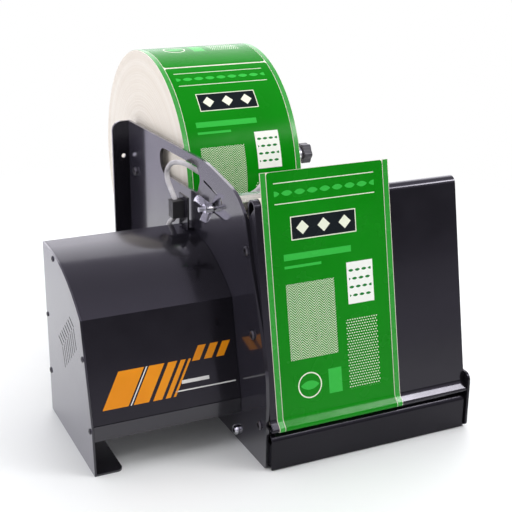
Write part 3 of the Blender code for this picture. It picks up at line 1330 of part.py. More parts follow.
def make_wing_nut():
    # a hub with two wings that lean outwards, on the sensor's stud
    hub = cylinder_mesh(WING_HUB_R, WING_HUB_L, SMALL_SIDES)
    middle = -GAP - WING_HUB_L / 2
    nut = add_part("wing_nut", hub, "steel", (middle, STUD_Y, STUD_Z), WING_BODY, TO_RIGHT)
    half = WING_W / 2
    corner = WING_W / 3
    wing = rounded([(0.0, -half, 0.0), (WING_SPAN, -half, corner), (WING_SPAN, half, corner), (0.0, half, 0.0)])
    stand = Matrix.Rotation(math.pi / 2, 4, "Z") @ Matrix.Rotation(WING_LEAN, 4, "Z")
    for angle in (WING_TURN, WING_TURN + math.pi):
        mesh = flat_mesh([wing], WING_T)
        mesh.transform(Matrix.Rotation(angle, 4, "X") @ stand)
        join(nut, add_tool(mesh, (middle, *on_circle((STUD_Y, STUD_Z), WING_T, angle))))
    cut(nut, bar_tool((STUD_Y, STUD_Z), STUD_R + GAP, middle - WING_HUB_L, OVERRUN, SMALL_SIDES))


# The cable's route from the gland to the sensor arm, in millimetres, chosen by hand
CABLE_ROUTE = (
    (-14.0, 217.3, 152.0),
    (-14.0, 222.5, 155.0),
    (-14.0, 224.0, 163.0),
    (-14.0, 220.5, 174.5),
    (-14.0, 212.5, 185.5),
    (-14.0, 202.0, 192.0),
    (-14.0, 194.5, 204.0),
    (-14.0, 198.5, 214.5),
    (-13.0, 210.5, 220.5),
    (-12.0, 223.0, 227.5),
    (-11.0, 226.0, 237.0),
    (-9.5, 218.0, 245.5),
    (-8.0, 203.0, 250.5),
    (-5.5, 188.0, 252.0),
    (-2.0, 179.5, 250.0),
    (3.0, 175.5, 246.5),
    (8.0, 169.0, 242.5),
    (10.0, 160.0, 238.0),
    (11.5, 150.5, 233.5),
    (14.0, 141.5, 230.5),
    (20.5, 134.8, 229.4),
    (30.0, 132.4, 229.2),
    (40.0, 132.8, 229.4),
    (49.0, 136.2, 231.6),
    (57.0, 140.6, 236.0),
    (63.0, 140.4, 239.6),
    (66.2, 135.6, 240.2),
    (66.4, 129.9, 240.0),
)
CABLE_STEPS = 2


def smooth_route(route, steps):
    # a Catmull-Rom curve through the route's points
    points = [Vector(p) * MM for p in route]
    ends = [2 * points[0] - points[1]] + points + [2 * points[-1] - points[-2]]
    curve = []
    for a, b, c, d in zip(ends, ends[1:], ends[2:], ends[3:]):
        for i in range(steps):
            t = i / steps
            bend = (2 * a - 5 * b + 4 * c - d) * t + (3 * b - a - 3 * c + d) * t * t
            curve.append((2 * b + (c - a + bend) * t) / 2)
    return curve + [points[-1]]


def make_cable():
    tube_part("sensor_cable", smooth_route(CABLE_ROUTE, CABLE_STEPS), CABLE_D, "cable_grey", 2)
    half = CLAMP_W / 2
    mesh = box_mesh((CLAMP_W, CLAMP_W, CLAMP_H))
    clamp = add_part("cable_clamp", mesh, "black_plastic", (CLAMP_X, CLAMP_Y, CLAMP_Z))
    cut(clamp, tube_tool(smooth_route(CABLE_ROUTE, CABLE_STEPS), CABLE_D + 2 * GAP))
    low = (CLAMP_X + half + GAP, CABLE_BRACKET_FRONT_Y, CABLE_BRACKET_LOW_Z)
    rear = CABLE_BRACKET_REAR_Y
    bracket = block("cable_bracket", low, (low[0] + SHEET, rear, CABLE_BRACKET_HIGH_Z), "black_paint")
    join(bracket, box_tool(low, (-GAP, rear, CABLE_BRACKET_LOW_Z + SHEET)))


clear_scene()
PARTS = new_collection("label_dispenser")
TOOLS = new_collection("cutters")
for material_name in MATERIALS:
    make_material(material_name)

# Bodies: an empty on each joint's axis
ROCKER_AT = (SWITCH_X, BACK_FACE_Y + GAP + PANEL_LIP_T, PANEL_LOW_Z)
SPEED_AT = (SPEED_X, BACK_FACE_Y + GAP, PANEL_HIGH_Z)
BUTTON_AT = (BUTTON_X, BACK_FACE_Y + GAP, PANEL_HIGH_Z)
MACHINE = make_body("machine", (0.0, 0.0, 0.0))
SUPPLY_BODY = make_body("supply_turns", (WEB_LEFT_X, *SUPPLY))
DISC_BODY = make_body("disc_slides", (WEB_LEFT_X, *SUPPLY))
KNOB_BODY = make_body("knob_turns", (KNOB_X, *SUPPLY))
GUIDE_BODY = make_body("guide_turns", (INNER_X, *GUIDE))
DRIVE_BODY = make_body("drive_turns", (INNER_X, *DRIVE))
TAKEUP_BODY = make_body("takeup_turns", (INNER_X, *TAKEUP))
PINCH_ARM = make_body("pinch_swings", (0.0, *PIVOT))
PINCH_BODY = make_body("pinch_turns", (0.0, *PINCH))
SENSOR_BODY = make_body("sensor_slides", (0.0, STUD_Y, STUD_Z))
WING_BODY = make_body("wing_turns", (0.0, STUD_Y, STUD_Z))
ROCKER = make_body("rocker_tips", ROCKER_AT)
SPEED = make_body("speed_turns", SPEED_AT)
BUTTON = make_body("button_travels", BUTTON_AT)

make_main_plate()
make_slide_plate()
make_slide_screws()
make_base_pan()
make_right_plate()
make_foot_strips()
make_end_plate()
make_cover()
make_housing_base()
make_housing_back()
make_housing_screws()
make_inlet()
make_switch()
make_speed_knob()
make_feed_button()
make_gland()
make_rods()
make_supply()
make_star_knob()
make_web()
make_drive()
make_takeup()
make_belt()
make_pinch()
make_spring()
make_motor()
make_board()
make_power_supply()
make_sensor()
make_wing_nut()
make_cable()
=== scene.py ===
# Label dispenser machine: its looks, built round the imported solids.
# Shapes are drawn in the machine's own millimetres and placed in the frame's metres at the end.
import json
import math

import bmesh
import bpy
from mathutils import Matrix, Vector

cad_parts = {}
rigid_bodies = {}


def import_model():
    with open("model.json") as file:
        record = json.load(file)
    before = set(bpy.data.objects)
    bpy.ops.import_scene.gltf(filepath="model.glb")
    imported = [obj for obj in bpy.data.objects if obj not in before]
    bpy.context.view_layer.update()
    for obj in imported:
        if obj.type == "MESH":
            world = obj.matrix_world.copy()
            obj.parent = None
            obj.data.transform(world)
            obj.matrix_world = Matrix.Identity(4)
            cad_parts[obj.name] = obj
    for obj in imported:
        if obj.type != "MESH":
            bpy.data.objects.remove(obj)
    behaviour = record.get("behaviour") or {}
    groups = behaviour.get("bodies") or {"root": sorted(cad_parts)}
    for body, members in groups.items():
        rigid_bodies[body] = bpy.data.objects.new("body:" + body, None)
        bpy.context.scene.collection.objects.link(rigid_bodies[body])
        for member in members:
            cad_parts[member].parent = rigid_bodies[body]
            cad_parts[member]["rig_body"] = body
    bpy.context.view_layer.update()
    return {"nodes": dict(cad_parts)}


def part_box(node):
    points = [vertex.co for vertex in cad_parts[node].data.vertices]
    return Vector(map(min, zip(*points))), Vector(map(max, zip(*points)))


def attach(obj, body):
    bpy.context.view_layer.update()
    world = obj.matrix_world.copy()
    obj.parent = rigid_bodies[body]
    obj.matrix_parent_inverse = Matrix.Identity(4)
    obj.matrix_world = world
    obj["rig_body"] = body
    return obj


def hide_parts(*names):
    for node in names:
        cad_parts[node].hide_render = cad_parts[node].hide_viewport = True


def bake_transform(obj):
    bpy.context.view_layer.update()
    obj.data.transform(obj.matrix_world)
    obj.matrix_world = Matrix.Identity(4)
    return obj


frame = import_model()

MM = 0.001
# The machine's zero corner in the frame: outer face of the main plate, base front, floor
ORIGIN = Vector((36.4, 246.2, 0.0))
PLACE = Matrix.Scale(MM, 4) @ Matrix.Translation(-ORIGIN)
LEFT, RIGHT, REAR = Vector((-1, 0, 0)), Vector((1, 0, 0)), Vector((0, 1, 0))

# Camera, fitted to the photograph
CAMERA_AT = PLACE @ Vector((-390.06, -797.37, 531.85))
CAMERA_PITCH = math.radians(19.66)
CAMERA_YAW = math.radians(25.19)
CAMERA_ROLL = math.radians(0.54)
CAMERA_LENS = 76.36

# Fine steps for round shapes
ARC_STEP = math.radians(4.0)
SHARP = math.radians(28.0)
WELD = 2e-6

# Label stock, in machine millimetres
WEB_X = (10.0, 143.5)
STRIP_W = 5.2
EDGE_LINE = 0.6
INNER_LINE = 0.7
LABEL_L = 251.0
LABEL_GAP = 2.2
LABEL_PITCH = LABEL_L + LABEL_GAP
LABEL_R = 3.0
SUPPLY = (358.0, 201.5)
GUIDE = (372.0, 24.0)
ROD = (150.0, 205.0)
PINCH = (164.0, 124.0)
TAKEUP = (178.0, 74.0)
PIVOT = (150.0, 160.0)
ROLL_R = 137.0
CORE_R = 41.0
WASTE_R = 38.0
GUIDE_R = 8.0
PINCH_R = 10.0
ROD_R = 3.0
WEB_OFFSET = 0.5
ROLL_LINE = math.radians(113.5)

# Slide plate
LEAN = math.radians(11.2)
SLIDE_FOOT = (4.8, 52.0)
NOSE = Vector((0.7, 42.5))
NOSE_R = 2.5
RAMP_RISE = math.radians(44.0)
RAMP_R = 8.0
FOLD_R = 7.5
FOLD_Z = 245.0
TIP_Z = 275.5
SLIDE_OUT = Vector((-math.cos(LEAN), math.sin(LEAN)))
RAMP_OUT = Vector((-math.sin(RAMP_RISE), math.cos(RAMP_RISE)))

# Housing's leaning panel, from its foot to its crease
PANEL_FOOT = Vector((62.5, 49.5))
PANEL_CREASE = Vector((85.0, 146.0))


def in_scene(name, data):
    obj = bpy.data.objects.new(name, data)
    bpy.context.scene.collection.objects.link(obj)
    return obj


# Camera
def make_camera():
    ahead0 = Vector((math.sin(CAMERA_YAW), math.cos(CAMERA_YAW), 0.0))
    ahead = math.cos(CAMERA_PITCH) * ahead0 - math.sin(CAMERA_PITCH) * Vector((0, 0, 1))
    right0 = Vector((math.cos(CAMERA_YAW), -math.sin(CAMERA_YAW), 0.0))
    up0 = right0.cross(ahead)
    right = math.cos(CAMERA_ROLL) * right0 + math.sin(CAMERA_ROLL) * up0
    up = right.cross(ahead)
    data = bpy.data.cameras.new("camera")
    data.lens = CAMERA_LENS
    data.clip_start = 0.05
    data.clip_end = 50.0
    camera = in_scene("camera", data)
    camera.matrix_world = Matrix.Translation(CAMERA_AT) @ Matrix((right, up, -ahead)).transposed().to_4x4()
    bpy.context.scene.camera = camera


make_camera()


# Node helpers
def add(tree, kind, inputs=None, **settings):
    node = tree.nodes.new(kind)
    for key, value in settings.items():
        setattr(node, key, value)
    for key, value in (inputs or {}).items():
        if isinstance(value, bpy.types.Node):
            value = value.outputs[0]
        if isinstance(value, bpy.types.NodeSocket):
            tree.links.new(value, node.inputs[key])
        else:
            node.inputs[key].default_value = value
    return node


class Finish:
    """A procedural material on object coordinates in metres."""

    def __init__(self, name, **sockets):
        self.material = bpy.data.materials.new(name)
        self.material.use_nodes = True
        self.tree = self.material.node_tree
        self.shader = self.tree.nodes["Principled BSDF"]
        for key, value in sockets.items():
            self.shader.inputs[key.replace("_", " ")].default_value = value
        self.place = self.add("ShaderNodeTexCoord").outputs["Object"]

    def add(self, kind, inputs=None, **settings):
        return add(self.tree, kind, inputs, **settings)

    def calc(self, operation, *values):
        return self.add("ShaderNodeMath", dict(enumerate(values)), operation=operation).outputs[0]

    def vector(self, operation, *values, output=0):
        return self.add("ShaderNodeVectorMath", dict(enumerate(values)), operation=operation).outputs[output]

    def noise(self, scale, detail=2.0, place=None):
        inputs = {"Vector": place or self.place, "Scale": scale, "Detail": detail}
        return self.add("ShaderNodeTexNoise", inputs).outputs[0]

    def mapped(self, value, low, high, start=0.35, end=0.65):
        return self.add("ShaderNodeMapRange", {0: value, 1: start, 2: end, 3: low, 4: high}).outputs[0]

    def mix(self, factor, first, second):
        node = self.add("ShaderNodeMix", {0: factor, 6: first, 7: second}, data_type="RGBA")
        return node.outputs[2]

    def colour(self, value):
        self.tree.links.new(value, self.shader.inputs["Base Color"])

    def roughness(self, value):
        self.tree.links.new(value, self.shader.inputs["Roughness"])

    def bump(self, height, depth, strength=1.0):
        raised = self.add("ShaderNodeBump", {"Height": height, "Distance": depth, "Strength": strength})
        self.tree.links.new(raised.outputs[0], self.shader.inputs["Normal"])


def speckled(name, dark, light, patch, rough, cloud, grain, depth, **sockets):
    """A finish that varies in shade over its patches and in gloss over its clouds, with a fine grain."""
    finish = Finish(name, **sockets)
    finish.colour(finish.mix(finish.mapped(finish.noise(patch, 3.0), 0.0, 1.0), (*dark, 1), (*light, 1)))
    finish.roughness(finish.mapped(finish.noise(cloud, 3.0), *rough))
    finish.bump(finish.noise(grain, 1.0), depth)
    return finish


def brushed(name, dark, light, rough):
    """Metal with fine lines that run along x."""
    finish = Finish(name, Metallic=1.0)
    lines = finish.noise(40.0, 3.0, finish.vector("MULTIPLY", finish.place, (1.0, 60.0, 60.0)))
    finish.colour(finish.mix(finish.mapped(lines, 0.0, 1.0), (*dark, 1), (*light, 1)))
    finish.roughness(finish.mapped(finish.noise(60.0, 2.0), *rough))
    finish.bump(lines, 0.00002, 0.5)
    return finish


POWDER_DARK, POWDER_LIGHT = (0.0045, 0.0041, 0.0054), (0.0074, 0.0067, 0.0086)
GLOSS_TINT, SHEEN_TINT = (0.90, 0.86, 1.0, 1.0), (0.74, 0.68, 1.0, 1.0)


def powder(name, rough, **sockets):
    """Black powder coat with a fine grain and a faint violet cast."""
    return speckled(name, POWDER_DARK, POWDER_LIGHT, 8.0, rough, 35.0, 1300.0, 0.000009,
                    Specular_Tint=GLOSS_TINT, Sheen_Roughness=0.3, Sheen_Tint=SHEEN_TINT, **sockets)


powder_satin = powder("powder_satin", (0.13, 0.20), Specular_IOR_Level=0.36, Coat_Weight=0.14,
                      Coat_Roughness=0.08, Sheen_Weight=0.25)
powder_matt = powder("powder_matt", (0.14, 0.22), Specular_IOR_Level=0.26, Sheen_Weight=0.1)
powder_gloss = powder("powder_gloss", (0.12, 0.19), Coat_Weight=0.7, Coat_Roughness=0.08, Sheen_Weight=0.3)
# painted shade: a darker black with almost no gloss for the walls inside the end plate's vent slots, where
# shade falls
slot_painted_shade = speckled("slot_painted_shade", (0.003, 0.003, 0.004), (0.006, 0.006, 0.007), 30.0, (0.75, 0.9),
                     60.0, 1300.0, 0.000009, Specular_IOR_Level=0.1)
moulded_black = speckled("moulded_black", (0.012, 0.012, 0.013), (0.022, 0.021, 0.023), 60.0, (0.36, 0.5),
                         90.0, 2600.0, 0.00003)
knob_grey = speckled("knob_grey", (0.026, 0.024, 0.030), (0.042, 0.040, 0.048), 50.0, (0.34, 0.46),
                     90.0, 2400.0, 0.00003)
soft_rubber = speckled("soft_rubber", (0.014, 0.014, 0.014), (0.030, 0.029, 0.028), 45.0, (0.7, 0.86),
                       120.0, 3200.0, 0.00005)
red_moulded = speckled("red_moulded", (0.36, 0.012, 0.010), (0.46, 0.022, 0.016), 70.0, (0.26, 0.38),
                       90.0, 2600.0, 0.00002)
plated_steel = brushed("plated_steel", (0.50, 0.50, 0.52), (0.66, 0.66, 0.68), (0.22, 0.34))
bright_nickel = speckled("bright_nickel", (0.66, 0.66, 0.69), (0.80, 0.80, 0.83), 80.0, (0.10, 0.18),
                         140.0, 900.0, 0.00004, Metallic=1.0)
blackened_screw = speckled("blackened_screw", (0.05, 0.048, 0.055), (0.11, 0.105, 0.115), 200.0, (0.28, 0.4),
                           300.0, 2200.0, 0.00003, Metallic=0.7)
turned_brass = brushed("turned_brass", (0.50, 0.36, 0.14), (0.66, 0.50, 0.24), (0.24, 0.36))
milled_aluminium = brushed("milled_aluminium", (0.56, 0.57, 0.58), (0.72, 0.73, 0.74), (0.28, 0.42))
cable_vinyl = speckled("cable_vinyl", (0.42, 0.40, 0.42), (0.54, 0.52, 0.54), 90.0, (0.32, 0.46),
                       120.0, 2800.0, 0.00003)
board_green = speckled("board_green", (0.008, 0.10, 0.03), (0.016, 0.16, 0.05), 160.0, (0.25, 0.4),
                       200.0, 1800.0, 0.00003)
liner_glassine = speckled("liner_glassine", (0.72, 0.67, 0.58), (0.82, 0.78, 0.69), 25.0, (0.38, 0.5),
                          70.0, 1500.0, 0.00002, Sheen_Weight=0.1)
strip_green = speckled("strip_green", (0.012, 0.285, 0.016), (0.018, 0.32, 0.022), 14.0, (0.22, 0.3),
                       50.0, 1600.0, 0.000008)
decal_orange = speckled("decal_orange", (0.80, 0.265, 0.003), (0.88, 0.305, 0.005), 30.0, (0.16, 0.24),
                        60.0, 1500.0, 0.000006, Specular_IOR_Level=0.3)
decal_white = speckled("decal_white", (0.78, 0.77, 0.75), (0.84, 0.83, 0.81), 30.0, (0.16, 0.24),
                       60.0, 1500.0, 0.000006)
mark_white = speckled("mark_white", (0.70, 0.70, 0.69), (0.80, 0.80, 0.78), 60.0, (0.4, 0.5),
                      60.0, 1500.0, 0.00001)


def make_layers(name, centre, dark, light):
    """The side of a wound roll: fine rings, with soft radial lines of painted sheen that run out from the
    core.
    """
    finish = Finish(name, Specular_IOR_Level=0.35)
    moved = finish.vector("SUBTRACT", finish.place, PLACE @ Vector((0.0, *centre)))
    flat = finish.vector("MULTIPLY", moved, (0.0, 1.0, 1.0))
    radius = finish.vector("LENGTH", flat, output="Value")

    def along_radius(scale, detail):
        inputs = {"W": radius, "Scale": scale, "Detail": detail}
        return finish.add("ShaderNodeTexNoise", inputs, noise_dimensions="1D").outputs[0]

    rings, bands = along_radius(900.0, 3.0), along_radius(110.0, 2.0)
    # painted sheen: soft radial lines from the core lighten and darken the side by its angle round the core
    sheen_streaks = finish.noise(1.6, 2.0, finish.vector("NORMALIZE", flat))
    shade = finish.calc("ADD", finish.calc("MULTIPLY", rings, 0.5), finish.calc("MULTIPLY", bands, 0.25))
    shade = finish.calc("ADD", shade, finish.calc("MULTIPLY", sheen_streaks, 0.25))
    finish.colour(finish.mix(finish.mapped(shade, 0.0, 1.0, 0.38, 0.62), (*dark, 1), (*light, 1)))
    finish.roughness(finish.mapped(rings, 0.5, 0.7))
    finish.bump(rings, 0.00012, 0.6)
    return finish


roll_layers = make_layers("roll_layers", SUPPLY, (0.83, 0.755, 0.675), (0.92, 0.865, 0.80))
waste_layers = make_layers("waste_layers", TAKEUP, (0.70, 0.65, 0.56), (0.84, 0.80, 0.71))


def make_cardboard():
    finish = Finish("core_board", Specular_IOR_Level=0.2)
    fibres = finish.noise(500.0, 4.0)
    plies = finish.noise(70.0, 2.0)
    shade = finish.calc("ADD", finish.calc("MULTIPLY", fibres, 0.6), finish.calc("MULTIPLY", plies, 0.4))
    finish.colour(finish.mix(finish.mapped(shade, 0.0, 1.0), (0.34, 0.23, 0.13, 1), (0.50, 0.37, 0.23, 1)))
    finish.roughness(finish.mapped(fibres, 0.75, 0.9))
    finish.bump(fibres, 0.0001, 0.6)
    return finish


core_board = make_cardboard()


# The print on a label: its place on the label is given in millimetres by the UV map
def make_print(name, gloss):
    finish = Finish(name, Specular_IOR_Level=gloss)
    uv = finish.add("ShaderNodeUVMap", uv_map="print").outputs[0]
    spot = finish.vector("MULTIPLY", uv, (LABEL_W, LABEL_L, 0.0))
    split = finish.add("ShaderNodeSeparateXYZ", {0: spot})
    u, v = split.outputs[0], split.outputs[1]

    def both(first, second):
        return finish.calc("MULTIPLY", first, second)

    def block(u0, u1, v0, v1):
        centre = ((u0 + u1) / 2, (v0 + v1) / 2, 0.0)
        half = ((u1 - u0) / 2, (v1 - v0) / 2, 1.0)
        away = finish.vector("ABSOLUTE", finish.vector("SUBTRACT", spot, centre))
        parts = finish.add("ShaderNodeSeparateXYZ", {0: finish.vector("SUBTRACT", away, half)})
        reach = finish.calc("MAXIMUM", parts.outputs[0], parts.outputs[1])
        return finish.calc("LESS_THAN", reach, 0.0)

    def disc(place, centre, radius):
        reach = finish.vector("DISTANCE", place, (*centre, 0.0), output="Value")
        return finish.calc("LESS_THAN", reach, radius)

    def repeated(du, dv, shift=0.0):
        # the place within one cell of a pattern, with every row moved along by a share of the cell
        row = finish.calc("FLOOR", finish.calc("DIVIDE", v, dv))
        along = finish.calc("ADD", u, finish.calc("MULTIPLY", row, shift * du))
        cell_u = finish.calc("WRAP", along, du, 0.0)
        cell_v = finish.calc("WRAP", v, dv, 0.0)
        return finish.add("ShaderNodeCombineXYZ", {0: cell_u, 1: cell_v}).outputs[0], cell_u

    def leaf(place, centre, length, width):
        # two discs that overlap in a leaf's shape, lying along u
        radius = (length * length / 4 + width * width / 4) / width
        lift = radius - width / 2
        upper = disc(place, (centre[0], centre[1] + lift), radius)
        lower = disc(place, (centre[0], centre[1] - lift), radius)
        return both(upper, lower)

    def paint(under, mask, colour):
        return finish.mix(mask, under, (*colour, 1))

    cream, leaf_green, dark = (0.80, 0.84, 0.68), (0.035, 0.47, 0.055), (0.006, 0.010, 0.012)
    ground = finish.mix(finish.mapped(finish.noise(12.0, 2.0), 0.0, 1.0), (0.0004, 0.205, 0.0016, 1),
                        (0.0010, 0.225, 0.0026, 1))
    # a frieze of leaves between two rules near the top, in cells so high that it keeps to one row
    one_row = 200.0
    cell, _ = repeated(13.0, one_row)
    frieze = leaf(cell, (6.5, 20.0), 11.0, 5.0)
    art = paint(ground, both(frieze, block(6.5, 110.5, 14.0, 26.0)), leaf_green)
    for low in (10.0, 29.0):
        art = paint(art, block(6.5, 110.5, low, low + 0.8), cream)
    # a dark band with a cream frame and three lozenges
    art = paint(art, block(21.0, 89.0, 42.0, 64.0), cream)
    art = paint(art, block(21.9, 88.1, 42.9, 63.1), dark)
    _, cell_u = repeated(22.0, one_row)
    lozenge = finish.calc("ADD", finish.calc("ABSOLUTE", finish.calc("SUBTRACT", cell_u, 11.0)),
                          finish.calc("ABSOLUTE", finish.calc("SUBTRACT", v, 53.0)))
    art = paint(art, both(finish.calc("LESS_THAN", lozenge, 6.5), block(22.0, 88.0, 44.0, 62.0)), cream)
    # bright bars
    art = paint(art, block(12.0, 82.0, 76.0, 82.0), leaf_green)
    art = paint(art, block(12.0, 50.0, 87.0, 89.5), leaf_green)
    # a pale block with rows of small green leaves
    art = paint(art, block(76.0, 104.0, 92.0, 132.0), (0.86, 0.87, 0.83))
    cell, _ = repeated(7.0, 8.0, 0.5)
    small = leaf(cell, (3.5, 4.0), 5.6, 2.6)
    art = paint(art, both(small, block(78.0, 102.0, 94.0, 130.0)), (0.012, 0.20, 0.03))
    # a field of fine herringbone and a field of fine dots
    fold = finish.calc("PINGPONG", u, 5.0)
    slant = finish.calc("WRAP", finish.calc("ADD", v, fold), 2.4, 0.0)
    weave = both(finish.calc("LESS_THAN", slant, 0.85), block(12.0, 62.0, 104.0, 176.0))
    art = paint(art, weave, cream)
    cell, _ = repeated(2.6, 2.6, 0.5)
    dots = both(disc(cell, (1.3, 1.3), 0.62), block(72.0, 106.0, 146.0, 214.0))
    art = paint(art, dots, cream)
    # a ring of cream round a bright leaf, low on the left
    ring = finish.calc("SUBTRACT", disc(spot, (30.0, 202.0), 12.5), disc(spot, (30.0, 202.0), 11.3))
    art = paint(art, ring, cream)
    art = paint(art, leaf(spot, (30.0, 202.0), 19.0, 8.5), leaf_green)
    art = paint(art, block(50.0, 64.0, 190.0, 214.0), leaf_green)
    finish.colour(art)
    finish.roughness(finish.mapped(finish.noise(40.0, 2.0), 0.2, 0.28))
    finish.bump(finish.noise(1500.0, 1.0), 0.000006)
    return finish


LABEL_X = (WEB_X[0] + EDGE_LINE + STRIP_W + INNER_LINE, WEB_X[1] - EDGE_LINE - STRIP_W - INNER_LINE)
LABEL_W = LABEL_X[1] - LABEL_X[0]
label_print = make_print("label_print", 0.18)
roll_print = make_print("roll_print", 0.06)


# Meshes
def new_mesh(name, points, faces):
    mesh = bpy.data.meshes.new(name)
    mesh.from_pydata([tuple(p) for p in points], [], faces)
    return mesh


def outward(mesh):
    bm = bmesh.new()
    bm.from_mesh(mesh)
    bmesh.ops.remove_doubles(bm, verts=bm.verts, dist=WELD)
    bmesh.ops.recalc_face_normals(bm, faces=bm.faces)
    bm.to_mesh(mesh)
    bm.free()
    return mesh


def joined(meshes):
    # one mesh from several, with their materials' places kept
    bm = bmesh.new()
    for mesh in meshes:
        bm.from_mesh(mesh)
    whole = bpy.data.meshes.new(meshes[0].name)
    bm.to_mesh(whole)
    bm.free()
    return whole


def piece(name, mesh, finishes, body="chassis", nodes=(), bevel=0.0, segments=2):
    if isinstance(finishes, Finish):
        finishes = [finishes]
    mesh.materials.clear()
    for finish in finishes:
        mesh.materials.append(finish.material)
    obj = in_scene(name, mesh)
    mesh.shade_smooth()
    mesh.set_sharp_from_angle(angle=SHARP)
    if bevel:
        edge = obj.modifiers.new("edge", "BEVEL")
        edge.width = bevel * MM
        edge.segments = segments
        edge.limit_method = "ANGLE"
        edge.angle_limit = SHARP
        edge.harden_normals = False
        weigh = obj.modifiers.new("weigh", "WEIGHTED_NORMAL")
        weigh.keep_sharp = False
    if body:
        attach(obj, body)
    if nodes:
        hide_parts(*nodes)
    return obj


def plain_copy(node):
    # a merged copy of a node's mesh, with its flat faces whole again
    bm = bmesh.new()
    bm.from_mesh(frame["nodes"][node].data)
    bmesh.ops.remove_doubles(bm, verts=bm.verts, dist=WELD)
    bmesh.ops.dissolve_limit(bm, angle_limit=math.radians(0.5), verts=bm.verts, edges=bm.edges)
    points = [v.co.copy() for v in bm.verts]
    bm.verts.index_update()
    faces = [[v.index for v in f.verts] for f in bm.faces]
    bm.free()
    return new_mesh(node, points, faces)


def body_of(node):
    return frame["nodes"][node]["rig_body"]


def dressed(node, finish, bevel, segments=2):
    """The node's own shape with broken edges and a finish."""
    piece(node + "_skin", plain_copy(node), finish, body_of(node), (node,), bevel, segments)


def rings(profile, sides, shape=None):
    """A solid turned about z from (radius, height) points; shape may change a ring's radius by its angle."""
    points, faces = [], []
    starts = []
    for k, (radius, height) in enumerate(profile):
        starts.append(len(points))
        if radius == 0.0:
            points.append((0.0, 0.0, height))
            continue
        for i in range(sides):
            angle = 2 * math.pi * i / sides
            r = shape(k, radius, angle) if shape else radius
            points.append((r * math.cos(angle), r * math.sin(angle), height))
    count = len(profile)
    closed = profile[0][0] > 0.0 and profile[-1][0] > 0.0
    for k in range(count if closed else count - 1):
        a, b = starts[k], starts[(k + 1) % count]
        single_a, single_b = profile[k][0] == 0.0, profile[(k + 1) % count][0] == 0.0
        for i in range(sides):
            j = (i + 1) % sides
            if single_a and single_b:
                break
            if single_a:
                faces.append((a, b + i, b + j))
            elif single_b:
                faces.append((a + i, b, a + j))
            else:
                faces.append((a + i, b + i, b + j, a + j))
    return outward(new_mesh("turned", points, faces))


def aimed(direction, at):
    # turns a shape drawn along z to point along a direction, and places it in the frame
    turn = Vector((0, 0, 1)).rotation_difference(direction).to_matrix().to_4x4()
    return PLACE @ Matrix.Translation(at) @ turn


def turned(profile, direction, at, sides=64, shape=None):
    mesh = rings(profile, sides, shape)
    mesh.transform(aimed(direction, at))
    return outward(mesh)


def prism(outline, low, high, matrix):
    """A flat outline given a thickness: outline points are in the matrix's x and y."""
    count = len(outline)
    points = [(u, v, low) for u, v in outline] + [(u, v, high) for u, v in outline]
    faces = [tuple(range(count)), tuple(range(2 * count - 1, count - 1, -1))]
    faces += [(i, (i + 1) % count, count + (i + 1) % count, count + i) for i in range(count)]
    mesh = new_mesh("prism", points, faces)
    mesh.transform(matrix)
    return outward(mesh)


def arc(centre, radius, start, end, step=ARC_STEP):
    count = max(2, math.ceil(abs(end - start) / step))
    angles = [start + (end - start) * i / count for i in range(count + 1)]
    return [(centre[0] + radius * math.cos(a), centre[1] + radius * math.sin(a)) for a in angles]


def on_circle(centre, radius, angle):
    return (centre[0] + radius * math.cos(angle), centre[1] + radius * math.sin(angle))


def tangent(centre_a, radius_a, centre_b, radius_b):
    run = Vector(centre_b) - Vector(centre_a)
    return math.atan2(run.y, run.x) + math.acos((radius_a - radius_b) / run.length)


# The paths of the label web and of the waste liner, along their middle
def slide_point(z):
    return Vector((SLIDE_FOOT[0] + (z - SLIDE_FOOT[1]) * math.tan(LEAN), z))


def web_path():
    ramp_reach = RAMP_OUT.dot(NOSE) + NOSE_R + RAMP_R
    plane_reach = SLIDE_OUT.dot(slide_point(SLIDE_FOOT[1])) + RAMP_R
    det = RAMP_OUT.x * SLIDE_OUT.y - RAMP_OUT.y * SLIDE_OUT.x
    ramp = ((ramp_reach * SLIDE_OUT.y - plane_reach * RAMP_OUT.y) / det,
            (RAMP_OUT.x * plane_reach - SLIDE_OUT.x * ramp_reach) / det)
    roll_r, guide_r, nose_r = ROLL_R + WEB_OFFSET, GUIDE_R + WEB_OFFSET, NOSE_R + WEB_OFFSET
    leave = tangent(SUPPLY, roll_r, GUIDE, guide_r)
    reach = tangent(GUIDE, guide_r, tuple(NOSE), nose_r)
    path = [on_circle(SUPPLY, roll_r, leave)] + arc(GUIDE, guide_r, leave, reach)
    path += arc(NOSE, nose_r, reach, math.pi / 2 + RAMP_RISE)
    path += arc(ramp, RAMP_R - WEB_OFFSET, math.atan2(-RAMP_OUT.y, -RAMP_OUT.x),
                math.atan2(-SLIDE_OUT.y, -SLIDE_OUT.x))
    return path + [tuple(slide_point(TIP_Z) + SLIDE_OUT * WEB_OFFSET)]


def liner_path():
    fold = slide_point(FOLD_Z) - SLIDE_OUT * FOLD_R
    fold_r, rod_r = FOLD_R + WEB_OFFSET, ROD_R + WEB_OFFSET
    start = math.pi - LEAN - math.acos(FOLD_R / (FOLD_R + 0.7))
    over = tangent(fold, fold_r, ROD, rod_r)
    path = arc(fold, fold_r, start, over) + arc(ROD, rod_r, over, 0.0)
    pinch_r, waste_r = PINCH_R + WEB_OFFSET, WASTE_R + WEB_OFFSET
    run = Vector(TAKEUP) - Vector(PINCH)
    leave = math.atan2(run.y, run.x) - math.acos((pinch_r + waste_r) / run.length) + 2 * math.pi
    return path + arc(PINCH, pinch_r, math.pi, leave) + [on_circle(TAKEUP, waste_r, leave - math.pi)]


